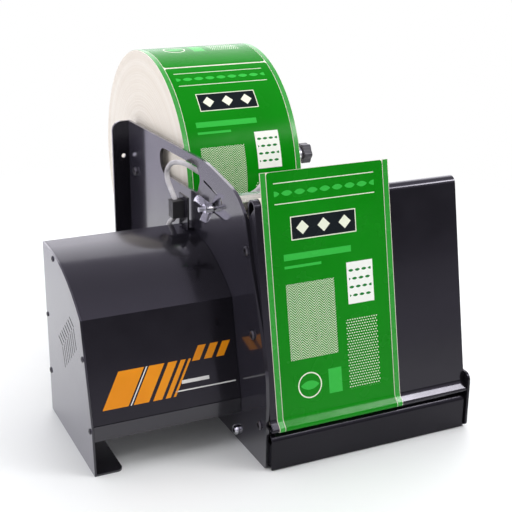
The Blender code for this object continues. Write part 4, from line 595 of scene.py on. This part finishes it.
class Track:
    """A path in y and z with its length, its place and its outward side at any distance along it."""

    def __init__(self, points):
        self.points = [Vector(points[0])]
        for point in points[1:]:
            if (Vector(point) - self.points[-1]).length > 1e-4:
                self.points.append(Vector(point))
        self.marks = [0.0]
        for a, b in zip(self.points, self.points[1:]):
            self.marks.append(self.marks[-1] + (b - a).length)
        self.length = self.marks[-1]

    def at(self, mark):
        last = len(self.points) - 1
        k = max(i for i in range(last) if self.marks[i] <= mark + 1e-6 or i == 0)
        a, b = self.points[k], self.points[k + 1]
        place = a + (b - a) * ((mark - self.marks[k]) / (self.marks[k + 1] - self.marks[k]))
        before = self.points[max(0, k - 1 if mark - self.marks[k] < 1e-6 else k)]
        run = (b - before).normalized()
        return place, Vector((run.y, -run.x))


def ribbon(track, x_span, start, end, low, high, corner=0.0):
    """A strip along a track between two offsets from it, with round corners if asked."""
    marks = {start, end}
    marks.update(m for m in track.marks if start < m < end)
    for i in range(1, 7):
        reach = corner * (1 - math.cos(math.pi / 12 * i))
        marks.update((start + reach, end - reach))
    marks = sorted(marks)
    kept = [marks[0]]
    for mark in marks[1:]:
        if mark - kept[-1] > 0.02:
            kept.append(mark)
    points, uvs = [], []
    for mark in kept:
        inset = 0.0
        near = min(mark - start, end - mark)
        if near < corner:
            inset = corner - math.sqrt(max(0.0, corner ** 2 - (corner - near) ** 2))
        place, out = track.at(mark)
        for x in (x_span[0] + inset, x_span[1] - inset):
            for offset in (low, high):
                spot = place + out * offset
                points.append((x, spot.x, spot.y))
                uvs.append(((x - x_span[0]) / (x_span[1] - x_span[0]), (mark - start) / LABEL_L))
    faces = []
    for i in range(len(kept) - 1):
        a, b = 4 * i, 4 * i + 4
        faces += [(a + 1, a + 3, b + 3, b + 1), (a, b, b + 2, a + 2),
                  (a, a + 1, b + 1, b), (a + 2, b + 2, b + 3, a + 3)]
    last = 4 * (len(kept) - 1)
    faces += [(0, 2, 3, 1), (last, last + 1, last + 3, last + 2)]
    mesh = new_mesh("ribbon", points, faces)
    layer = mesh.uv_layers.new(name="print")
    for loop in mesh.loops:
        layer.data[loop.index].uv = uvs[loop.vertex_index]
    mesh.transform(PLACE)
    bm = bmesh.new()
    bm.from_mesh(mesh)
    bmesh.ops.recalc_face_normals(bm, faces=bm.faces)
    bm.to_mesh(mesh)
    bm.free()
    return mesh


# Geometry node trees
def floats(*labels):
    return [(label, "Float") for label in labels]


def new_tree(name, sizes):
    """A tree with one geometry in and out, and its sizes as named inputs."""
    tree = bpy.data.node_groups.new(name, "GeometryNodeTree")
    tree.interface.new_socket("Geometry", in_out="OUTPUT", socket_type="NodeSocketGeometry")
    tree.interface.new_socket("Geometry", in_out="INPUT", socket_type="NodeSocketGeometry")
    keys = {}
    for label, kind in sizes:
        socket = tree.interface.new_socket(label, in_out="INPUT", socket_type="NodeSocket" + kind)
        keys[label] = socket.identifier
    source = tree.nodes.new("NodeGroupInput")
    return tree, source.outputs, keys


def close_tree(tree, geometry, material):
    whole = add(tree, "GeometryNodeRealizeInstances", {0: geometry})
    painted = add(tree, "GeometryNodeSetMaterial", {"Geometry": whole, "Material": material})
    result = tree.nodes.new("NodeGroupOutput")
    tree.links.new(painted.outputs[0], result.inputs[0])


def grown(tree, keys, values, base=None):
    """The plain mesh that a tree makes from its inputs."""
    carrier = in_scene("carrier", base or bpy.data.meshes.new("carrier"))
    modifier = carrier.modifiers.new("grow", "NODES")
    modifier.node_group = tree
    for label, value in values.items():
        modifier[keys[label]] = value
    bpy.context.view_layer.update()
    depsgraph = bpy.context.evaluated_depsgraph_get()
    mesh = bpy.data.meshes.new_from_object(carrier.evaluated_get(depsgraph))
    carrier.modifiers.clear()
    bpy.data.objects.remove(carrier)
    return mesh


# Screws: one head shape, set on its places by a tree that reads each place's size and turn
HEAD_H = 0.42


def six_sided(radius, angle):
    return radius * math.cos(math.pi / 6) / math.cos(angle % (math.pi / 3) - math.pi / 6)


def socket_head():
    """A domed head of radius 1 with a six-sided socket."""
    shares = ((0.0, 0.30), (0.5, 0.30), (0.5, 0.96), (0.56, 1.0), (0.74, 1.0), (0.93, 0.725), (1.0, 0.45),
              (1.0, 0.0), (0.0, 0.0))
    return rings([(radius, share * HEAD_H) for radius, share in shares], 24,
                 lambda k, radius, angle: six_sided(radius, angle) if k in (1, 2) else radius)


def make_screws(name, finish, heads, nodes):
    """Heads, each given as its seat's place, its direction, its radius and its height."""
    head = in_scene(name + "_head", socket_head())
    head.data.shade_smooth()
    head.data.set_sharp_from_angle(angle=SHARP)
    head.hide_render = True
    tree, source, keys = new_tree(name, [("Head", "Object"), ("Scale", "Float")])
    shape = add(tree, "GeometryNodeObjectInfo", {"Object": source["Head"]}).outputs["Geometry"]
    size, turn = (add(tree, "GeometryNodeInputNamedAttribute", {"Name": label}, data_type="FLOAT_VECTOR")
                  for label in ("size", "aim"))
    aim = add(tree, "FunctionNodeAlignRotationToVector", {"Vector": turn}, axis="Z")
    scale = add(tree, "ShaderNodeVectorMath", {0: size, "Scale": source["Scale"]}, operation="SCALE")
    set_out = add(tree, "GeometryNodeInstanceOnPoints", {"Points": source["Geometry"], "Instance": shape,
                                                         "Rotation": aim, "Scale": scale})
    close_tree(tree, set_out.outputs[0], finish.material)
    base = new_mesh(name, [PLACE @ Vector(place) for place, _, _, _ in heads], [])
    sizes = base.attributes.new("size", "FLOAT_VECTOR", "POINT")
    aims = base.attributes.new("aim", "FLOAT_VECTOR", "POINT")
    for i, (_, direction, radius, height) in enumerate(heads):
        sizes.data[i].vector = (radius, radius, height / HEAD_H)
        aims.data[i].vector = direction
    mesh = grown(tree, keys, {"Head": head, "Scale": MM}, base)
    bpy.data.objects.remove(head)
    piece(name, mesh, finish, "chassis", nodes)


def middle_of(node):
    low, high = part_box(node)
    return (low + high) / 2 / MM + ORIGIN


def left_screws(names, radius, height, face):
    return [((face, middle_of(n).y, middle_of(n).z), LEFT, radius, height) for n in names]


# Where heads and fittings sit: on the main plate, the housing's end plate and its back
PLATE_SEAT, END_SEAT, BACK_SEAT = -0.3, -150.2, 207.3
slide_names = ["slide_screw_upper", "slide_screw_middle", "slide_screw_lower"]
cover_names = ["cover_screw_upper", "cover_screw_middle", "cover_screw_lower"]
back_names = ["back_screw_upper", "back_screw_lower"]
end_plate_heads = [((END_SEAT, 203.0, z), LEFT, radius, 0.9) for z, radius in ((108.0, 2.4), (46.0, 3.1))]
make_screws("black_screws", blackened_screw,
            left_screws(slide_names, 4.4, 1.8, PLATE_SEAT) + left_screws(["axle_screw"], 5.0, 3.0, PLATE_SEAT)
            + left_screws(cover_names, 2.8, 0.9, END_SEAT) + end_plate_heads
            + [((middle_of(n).x, BACK_SEAT, middle_of(n).z), REAR, 2.8, 1.2) for n in back_names],
            slide_names + ["axle_screw"] + cover_names + back_names)
make_screws("base_bolt_bright", bright_nickel, left_screws(["base_bolt"], 5.2, 4.0, PLATE_SEAT),
            ["base_bolt"])


# Sheet metal: the solids' own shapes with broken edges
for node, finish, bevel in (("main_plate", powder_gloss, 0.45), ("slide_plate", powder_satin, 0.5),
                            ("base_pan", powder_matt, 0.4), ("right_plate", powder_matt, 0.5),
                            ("housing_cover", powder_satin, 0.3), ("housing_base", powder_gloss, 0.3),
                            ("housing_back", powder_satin, 0.3), ("cable_bracket", powder_satin, 0.3)):
    dressed(node, finish, bevel)


def make_end_plate():
    """The housing's end plate: the walls of its vent slots get a dark, dull finish that paints the shade
    inside the slots, and the rest is glossy.
    """
    mesh = plain_copy("housing_end_plate")
    low, high = PLACE @ Vector((0.0, 98.0, 72.0)), PLACE @ Vector((0.0, 166.0, 139.0))
    slots = [abs(face.normal.x) < 0.5 and low.y < face.center.y < high.y and low.z < face.center.z < high.z
             for face in mesh.polygons]
    piece("housing_end_plate_skin", mesh, [powder_gloss, slot_painted_shade], "chassis", ("housing_end_plate",), 0.1)
    for face, inside in zip(mesh.polygons, slots):
        face.material_index = int(inside)


make_end_plate()
for node in ("foot_strip_front", "foot_strip_rear"):
    dressed(node, soft_rubber, 0.4)


# The label web: liner, side strips and labels
LABEL_TOP = 0.2


def stock(name, track, body, node, art, first, low):
    """Side strips and labels along a track from a first distance, on a liner that shows between them."""
    last = track.length
    strips = []
    for span in ((WEB_X[0] + EDGE_LINE, WEB_X[0] + EDGE_LINE + STRIP_W),
                 (WEB_X[1] - EDGE_LINE - STRIP_W, WEB_X[1] - EDGE_LINE)):
        strips.append(ribbon(track, span, first, last, low, LABEL_TOP))
    piece(name + "_strips", joined(strips), strip_green, body, (node,))
    labels = []
    start = first
    while start < last - 2 * LABEL_R:
        end = min(start + LABEL_L, last)
        labels.append(ribbon(track, LABEL_X, start, end, low, LABEL_TOP, LABEL_R))
        start += LABEL_PITCH
    piece(name + "_labels", joined(labels), art, body, (node,))


# The track runs from the standing label's tip back to the roll
web = Track(list(reversed(web_path())))
liner_top = 0.05
piece("web_liner", ribbon(web, WEB_X, 0.0, web.length, -0.2, liner_top), liner_glassine, "chassis",
      ("label_web",))
stock("web", web, "chassis", "label_web", label_print, 0.3, liner_top)


# The roll: wound paper between its sides, and the labels of its outer turn
def wound_body(inner, outer, centre, sides, corner=0.3):
    wide = WEB_X[1] - WEB_X[0]
    profile = [(inner, wide), (outer - corner, wide), (outer, wide - corner), (outer, corner),
               (outer - corner, 0.0), (inner, 0.0)]
    return turned(profile, RIGHT, (WEB_X[0], *centre), sides)


roll_r = ROLL_R - LABEL_TOP
roll = wound_body(CORE_R + 0.3, roll_r, SUPPLY, 180)
for face in roll.polygons:
    face.material_index = 0 if abs(face.normal.x) > 0.5 else 1
piece("roll_body", roll, [roll_layers, liner_glassine], "supply", ("label_roll",))
# this track runs with growing angle, so its outward side is the roll's outside
start = ROLL_LINE - LABEL_PITCH / ROLL_R
outer_turn = Track(arc(SUPPLY, roll_r, start, start + 2 * math.pi - LABEL_GAP / ROLL_R, math.radians(2.0)))
stock("roll", outer_turn, "supply", "label_roll", roll_print, 0.0, 0.0)

# Ridges of the wound edges on both sides of the rolls
spiral_tree, spiral_in, spiral_keys = new_tree(
    "winding", floats("Turns", "Inner radius", "Outer radius", "Ridge"))
spiral = add(spiral_tree, "GeometryNodeCurveSpiral", {"Resolution": 96, "Rotations": spiral_in["Turns"],
                                                      "Start Radius": spiral_in["Inner radius"],
                                                      "End Radius": spiral_in["Outer radius"], "Height": 0.0})
ridge = add(spiral_tree, "GeometryNodeCurvePrimitiveCircle", {"Resolution": 4, "Radius": spiral_in["Ridge"]})
wound = add(spiral_tree, "GeometryNodeCurveToMesh", {"Curve": spiral, "Profile Curve": ridge})
close_tree(spiral_tree, wound.outputs[0], roll_layers.material)


def make_winding(name, finish, body, node, centre, radii, turns):
    sunk = 0.04
    sides = []
    for x in (WEB_X[0] + sunk, WEB_X[1] - sunk):
        mesh = grown(spiral_tree, spiral_keys, {"Turns": turns, "Inner radius": radii[0],
                                                "Outer radius": radii[1] - 0.6, "Ridge": 0.16})
        mesh.transform(aimed(RIGHT, (x, *centre)))
        sides.append(mesh)
    piece(name, joined(sides), finish, body, (node,))


make_winding("roll_windings", roll_layers, "supply", "label_roll", SUPPLY, (CORE_R + 1.0, roll_r), 26.0)
make_winding("waste_windings", waste_layers, "takeup", "waste_roll", TAKEUP, (8.0, WASTE_R), 12.0)

piece("waste_body", wound_body(6.4, WASTE_R, TAKEUP, 96), waste_layers, "takeup", ("waste_roll",))
liner = Track(liner_path())
piece("waste_web", ribbon(liner, WEB_X, 0.0, liner.length, -0.15, 0.15), liner_glassine, "chassis",
      ("waste_liner",))

# Core, hubs, axle, rods, rollers and belt; then the sensor, its clamp and the back panel's fittings
for nodes, finish, bevel, slot, segments in (
        (("roll_core",), core_board, 0.4, "cardboard", 2),
        (("roll_hub", "outer_disc"), moulded_black, 0.6, "black_plastic", 2),
        (("supply_axle", "rear_rod", "liner_rod", "drive_shaft", "takeup_shaft"), plated_steel, 0.4, "steel",
         2),
        (("guide_roller",), milled_aluminium, 0.5, "aluminium", 2),
        (("drive_roller", "pinch_roller"), soft_rubber, 0.5, "black_rubber", 2),
        (("pinch_arm",), plated_steel, 0.4, "steel", 2),
        (("drive_bush", "takeup_bush"), turned_brass, 0.2, "brass", 2),
        (("drive_pulley", "takeup_pulley"), milled_aluminium, 0.2, "aluminium", 2),
        (("takeup_belt",), soft_rubber, 0.2, "black_rubber", 2),
        (("star_knob",), knob_grey, 1.1, "black_plastic", 3),
        (("sensor_arm",), plated_steel, 0.3, "steel", 2),
        (("sensor_head",), moulded_black, 0.8, "black_plastic", 3),
        (("wing_nut",), bright_nickel, 0.5, "steel", 3),
        (("cable_clamp",), moulded_black, 0.7, "black_plastic", 3),
        (("power_inlet", "switch_frame"), moulded_black, 0.6, "black_plastic", 2),
        (("rocker",), red_moulded, 0.5, "red_plastic", 2),
        (("feed_button",), red_moulded, 0.6, "red_plastic", 2)):
    for node in nodes:
        dressed(node, finish, bevel, segments)

REAR_SIDE = Matrix((LEFT, (0, 0, 1), REAR)).transposed().to_4x4()


def block_outline(u, v, half_u, half_v):
    return [(u + a * half_u, v + b * half_v) for a, b in ((-1, -1), (1, -1), (1, 1), (-1, 1))]


def on_back(x, y, z, tilt=0.0):
    # a drawing plane that faces the rear, leaned about its own x
    return PLACE @ Matrix.Translation((x, y, z)) @ REAR_SIDE @ Matrix.Rotation(tilt, 4, "X")


# How far printed marks and thin vinyl stand off what carries them
INK = 0.12
SPEED_X, SPEED_Z = -108.0, 128.0


def make_gland():
    """The cable's gland: a six-sided nut with a ribbed sleeve behind it and a lock ring inside the panel."""
    sleeve = [(2.9, 9.0), (4.9, 9.0), (5.5, 8.5)]
    for root, crest, height in ((4.9, 5.8, 7.0), (5.1, 6.1, 5.2), (5.4, 6.3, 3.6)):
        sleeve += [(root, height + 0.6), (root, height), (crest, height - 0.2), (crest, height - 0.9)]
    nut = (len(sleeve), len(sleeve) + 1)
    sleeve += [(6.5, 2.4), (6.5, 0.0), (4.9, 0.0), (4.9, -2.2), (6.5, -2.2), (6.5, -3.8), (2.9, -3.8)]
    mesh = turned(sleeve, REAR, (-14.0, BACK_SEAT, 152.0), 48,
                  lambda k, radius, angle: six_sided(radius, angle) if k in nut else radius)
    piece("cable_gland_ribbed", mesh, moulded_black, "chassis", ("cable_gland",))


def make_speed_knob():
    """The speed knob with a fluted grip, a skirt and a white pointer line."""
    grip = [(0.0, 12.6), (8.0, 12.6), (8.5, 13.0), (9.0, 12.8), (9.6, 12.0), (9.6, 3.2), (9.8, 3.0),
            (11.0, 1.6), (11.0, 0.0), (3.0, 0.0), (3.0, -9.0), (0.0, -9.0)]

    def fluted(k, radius, angle):
        return radius - (0.35 + 0.35 * math.cos(24 * angle) if k in (4, 5) else 0.0)

    body = body_of("speed_knob")
    knob = turned(grip, REAR, (SPEED_X, BACK_SEAT, SPEED_Z), 144, fluted)
    piece("speed_knob_fluted", knob, knob_grey, body, ("speed_knob",))
    line = prism(block_outline(0.0, 4.95, 0.5, 2.45), 0.0, INK, on_back(SPEED_X, BACK_SEAT + 12.58, SPEED_Z))
    piece("speed_pointer", line, mark_white, body)


def make_rocker_marks():
    # a bar on the rocker's upper face and a ring on its lower one, both level with the hollow of the face
    x, y, z, reach = -77.0, 212.57, 62.0, 5.0
    hollow = math.radians(13.2)
    bar = prism(block_outline(0.0, 0.0, 0.4, 1.9), 0.0, INK, on_back(x, y, z + reach, hollow))
    ring = rings([(1.3, 0.0), (1.9, 0.0), (1.9, INK), (1.3, INK)], 40)
    ring.transform(on_back(x, y, z - reach, -hollow))
    piece("rocker_marks", joined([bar, outward(ring)]), mark_white, body_of("rocker"))


def make_inlet_pins():
    # three flat pins that stand in the socket
    pins = [prism(block_outline(across, up, 1.0, 2.0), 0.0, 11.0, on_back(-112.0, 194.6, 62.0))
            for across, up in ((-7.0, -1.6), (0.0, 1.8), (7.0, -1.6))]
    piece("inlet_pins", joined(pins), plated_steel, bevel=0.4)


make_gland()
make_speed_knob()
make_rocker_marks()
make_inlet_pins()

# What the housing hides
dressed("motor", powder_satin, 0.4)
dressed("gearbox", milled_aluminium, 0.4)
dressed("motor_bracket", plated_steel, 0.3)
dressed("circuit_board", board_green, 0.1)
dressed("power_supply", milled_aluminium, 0.4)

# The pinch arm's spring
coil_tree, coil_in, coil_keys = new_tree("coil", floats("Turns", "Radius", "Length", "Wire"))
coil = add(coil_tree, "GeometryNodeCurveSpiral",
           {"Resolution": 40, "Rotations": coil_in["Turns"], "Start Radius": coil_in["Radius"],
            "End Radius": coil_in["Radius"], "Height": coil_in["Length"]})
wire = add(coil_tree, "GeometryNodeCurvePrimitiveCircle", {"Resolution": 10, "Radius": coil_in["Wire"]})
sprung = add(coil_tree, "GeometryNodeCurveToMesh", {"Curve": coil, "Profile Curve": wire, "Fill Caps": True})
close_tree(coil_tree, sprung.outputs[0], plated_steel.material)
spring = grown(coil_tree, coil_keys, {"Turns": 4.0, "Radius": 6.2, "Length": 7.6, "Wire": 0.6})
spring.transform(aimed(LEFT, (-1.5, *PIVOT)))
piece("pinch_coil", spring, plated_steel, body_of("pinch_spring"), ("pinch_spring",))


# The sensor's cable, along the route of its solid
CABLE_D = 5.2
CABLE_ROUTE = (
    (-14.0, 217.3, 152.0), (-14.0, 222.5, 155.0), (-14.0, 224.0, 163.0), (-14.0, 220.5, 174.5),
    (-14.0, 212.5, 185.5), (-14.0, 202.0, 192.0), (-14.0, 194.5, 204.0), (-14.0, 198.5, 214.5),
    (-13.0, 210.5, 220.5), (-12.0, 223.0, 227.5), (-11.0, 226.0, 237.0), (-9.5, 218.0, 245.5),
    (-8.0, 203.0, 250.5), (-5.5, 188.0, 252.0), (-2.0, 179.5, 250.0), (3.0, 175.5, 246.5),
    (8.0, 169.0, 242.5), (10.0, 160.0, 238.0), (11.5, 150.5, 233.5), (14.0, 141.5, 230.5),
    (20.5, 134.8, 229.4), (30.0, 132.4, 229.2), (40.0, 132.8, 229.4), (49.0, 136.2, 231.6),
    (57.0, 140.6, 236.0), (63.0, 140.4, 239.6), (66.2, 135.6, 240.2), (66.4, 129.9, 240.0),
)


def smooth_route(route, steps):
    points = [PLACE @ Vector(p) for p in route]
    ends = [2 * points[0] - points[1]] + points + [2 * points[-1] - points[-2]]
    curve = []
    for a, b, c, d in zip(ends, ends[1:], ends[2:], ends[3:]):
        for i in range(steps):
            t = i / steps
            bend = (2 * a - 5 * b + 4 * c - d) * t + (3 * b - a - 3 * c + d) * t * t
            curve.append((2 * b + (c - a + bend) * t) / 2)
    return curve + [points[-1]]


def tube(name, points, diameter):
    curve = bpy.data.curves.new(name, "CURVE")
    curve.dimensions = "3D"
    curve.bevel_depth = diameter / 2
    curve.bevel_resolution = 5
    curve.use_fill_caps = True
    spline = curve.splines.new("POLY")
    spline.points.add(len(points) - 1)
    for point, co in zip(spline.points, points):
        point.co = (*co, 1.0)
    guide = in_scene(name, curve)
    mesh = bpy.data.meshes.new_from_object(guide.evaluated_get(bpy.context.evaluated_depsgraph_get()))
    bpy.data.objects.remove(guide)
    return outward(mesh)


route = smooth_route(CABLE_ROUTE, 6)
cable = piece("sensor_lead", tube("sensor_lead", route, CABLE_D * MM), cable_vinyl, None, ("sensor_cable",))
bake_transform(cable)


# Plain stripes on the housing's leaning panel, as thin vinyl
def panel_matrix():
    rise = Vector((0.0, *(PANEL_CREASE - PANEL_FOOT).normalized()))
    foot = Matrix.Translation((0.0, *PANEL_FOOT))
    return PLACE @ foot @ Matrix((RIGHT, rise, RIGHT.cross(rise))).transposed().to_4x4()


PANEL = panel_matrix()
WIDE_BARS, SMALL_BARS = (13.0, 47.0), (44.0, 58.0)


def slanted(x, width, low, high, lean=0.55):
    shift = (high - low) * lean
    return [(x, low), (x + width, low), (x + width + shift, high), (x + shift, high)]


orange = [slanted(x, width, *WIDE_BARS)
          for x, width in ((-138.0, 25.0), (-108.0, 15.0), (-89.0, 9.0), (-76.5, 5.0), (-68.5, 2.4))]
orange += [slanted(x, 8.0, *SMALL_BARS) for x in (-47.0, -34.5, -22.0)]
white = [slanted(-111.0, 1.2, *WIDE_BARS), block_outline(-35.0, 17.6, 31.0, 0.6),
         block_outline(-45.0, 25.75, 14.0, 1.75)]
piece("panel_stripes_orange", joined([prism(o, 0.0, INK, PANEL) for o in orange]), decal_orange)
piece("panel_stripes_white", joined([prism(o, 0.0, INK, PANEL) for o in white]), decal_white)


# Marks round the speed knob, set by a tree that repeats one tick
tick_tree, tick_in, tick_keys = new_tree(
    "dial_marks", [("Count", "Int")] + floats("Radius", "Length", "Width", "Height"))
dial = add(tick_tree, "GeometryNodeMeshCircle", {"Vertices": tick_in["Count"], "Radius": tick_in["Radius"]})
tick_size = add(tick_tree, "ShaderNodeCombineXYZ",
                {0: tick_in["Length"], 1: tick_in["Width"], 2: tick_in["Height"]})
tick = add(tick_tree, "GeometryNodeMeshCube", {"Size": tick_size})
here = add(tick_tree, "GeometryNodeInputPosition")
tick_turn = add(tick_tree, "FunctionNodeAlignRotationToVector", {"Vector": here}, axis="X")
ticks = add(tick_tree, "GeometryNodeInstanceOnPoints",
            {"Points": dial, "Instance": tick, "Rotation": tick_turn})
close_tree(tick_tree, ticks.outputs[0], mark_white.material)
marks = grown(tick_tree, tick_keys,
              {"Count": 16, "Radius": 14.5, "Length": 2.6, "Width": 0.6, "Height": INK})
marks.transform(aimed(REAR, (SPEED_X, 207.06, SPEED_Z)))
piece("speed_marks", marks, mark_white)


# Floor, light and background: the room seen in gloss has a faint violet cast
MIRRORED = (0.88, 0.84, 1.0, 1.0)


def make_floor():
    finish = Finish("studio_floor", Roughness=0.55)
    finish.colour(finish.mix(finish.mapped(finish.noise(3.0, 2.0), 0.0, 1.0), (0.84, 0.85, 0.86, 1),
                             (0.86, 0.87, 0.875, 1)))
    finish.bump(finish.noise(240.0, 2.0), 0.00001)
    away = finish.vector("LENGTH", finish.place, output="Value")
    fade = finish.add("ShaderNodeMapRange", {0: away, 1: 0.40, 2: 0.90, 3: 0.0, 4: 1.0},
                      interpolation_type="SMOOTHSTEP").outputs[0]
    path = finish.add("ShaderNodeLightPath")
    along = finish.add("ShaderNodeSeparateXYZ", {0: finish.place}).outputs[1]
    behind = finish.mapped(along, 0.0, 1.0, -0.7, -0.1)
    ahead = finish.mapped(along, 0.8, 0.0, -1.4, -1.05)
    mirrored = finish.calc("MAXIMUM", path.outputs["Is Glossy Ray"], path.outputs["Is Transmission Ray"])
    reflected = finish.calc("MULTIPLY", mirrored, finish.calc("MAXIMUM", behind, ahead))
    seen = finish.calc("MAXIMUM", path.outputs["Is Camera Ray"], reflected)
    cast = finish.mix(mirrored, (1, 1, 1, 1), MIRRORED)
    glow = finish.add("ShaderNodeEmission", {"Color": cast, "Strength": 1.0})
    share = finish.calc("MULTIPLY", fade, seen)
    blend = finish.add("ShaderNodeMixShader", {0: share, 1: finish.shader, 2: glow})
    finish.tree.links.new(blend.outputs[0], finish.tree.nodes["Material Output"].inputs["Surface"])
    reach = 12.0
    mesh = new_mesh("floor", [(-reach, -reach, 0), (reach, -reach, 0), (reach, reach, 0), (-reach, reach, 0)],
                    [(0, 1, 2, 3)])
    mesh.materials.append(finish.material)
    in_scene("floor", mesh)


def make_world():
    world = bpy.data.worlds.new("studio")
    bpy.context.scene.world = world
    world.use_nodes = True
    tree = world.node_tree
    tree.nodes.clear()
    way = add(tree, "ShaderNodeSeparateXYZ", {0: add(tree, "ShaderNodeTexCoord").outputs["Generated"]})
    front = add(tree, "ShaderNodeMapRange", {0: way.outputs[2], 1: 0.1, 2: 0.9, 3: 0.24, 4: 1.9}).outputs[0]
    room = add(tree, "ShaderNodeMapRange", {0: way.outputs[1], 1: -0.7, 2: 0.3, 3: front, 4: 1.0},
               interpolation_type="SMOOTHSTEP").outputs[0]
    path = add(tree, "ShaderNodeLightPath")
    sharp = add(tree, "ShaderNodeMath",
                {0: path.outputs["Is Glossy Ray"], 1: path.outputs["Is Transmission Ray"]},
                operation="MAXIMUM").outputs[0]
    soft = add(tree, "ShaderNodeMix", {0: sharp, 2: 0.56, 3: room}).outputs[0]
    level = add(tree, "ShaderNodeMix", {0: path.outputs["Is Camera Ray"], 2: soft, 3: 1.0}).outputs[0]
    cast = add(tree, "ShaderNodeMix", {0: sharp, 6: (1, 1, 1, 1), 7: MIRRORED}, data_type="RGBA").outputs[2]
    light = add(tree, "ShaderNodeBackground", {"Color": cast, "Strength": level})
    result = add(tree, "ShaderNodeOutputWorld")
    tree.links.new(light.outputs[0], result.inputs["Surface"])


def make_lamp(name, at, target, size, power, glossy=True):
    data = bpy.data.lights.new(name, "AREA")
    data.shape = "RECTANGLE"
    data.size, data.size_y = size
    data.energy = power
    lamp = in_scene(name, data)
    lamp.visible_glossy = glossy
    lamp.location = at
    lamp.rotation_mode = "QUATERNION"
    lamp.rotation_quaternion = (Vector(target) - Vector(at)).to_track_quat("-Z", "Y")


make_floor()
make_world()
make_lamp("overhead", (0.0, 0.1, 1.5), (0.0, 0.0, 0.1), (2.2, 1.6), 16.0, glossy=False)
make_lamp("rear_softbox", (0.75, 1.3, 1.0), (0.0, 0.0, 0.15), (2.4, 1.3), 15.0)
make_lamp("left_softbox", (-1.5, 0.3, 0.9), (0.0, 0.0, 0.2), (1.4, 1.0), 6.5, glossy=False)
make_lamp("ramp_band", (0.56, -0.70, 0.85), (0.09, -0.245, 0.045), (0.52, 0.14), 2.1)
make_lamp("ramp_glint", (0.73, -0.70, 0.85), (0.16, -0.245, 0.045), (0.24, 0.14), 2.0)
bpy.context.scene.view_settings.view_transform = "Standard"
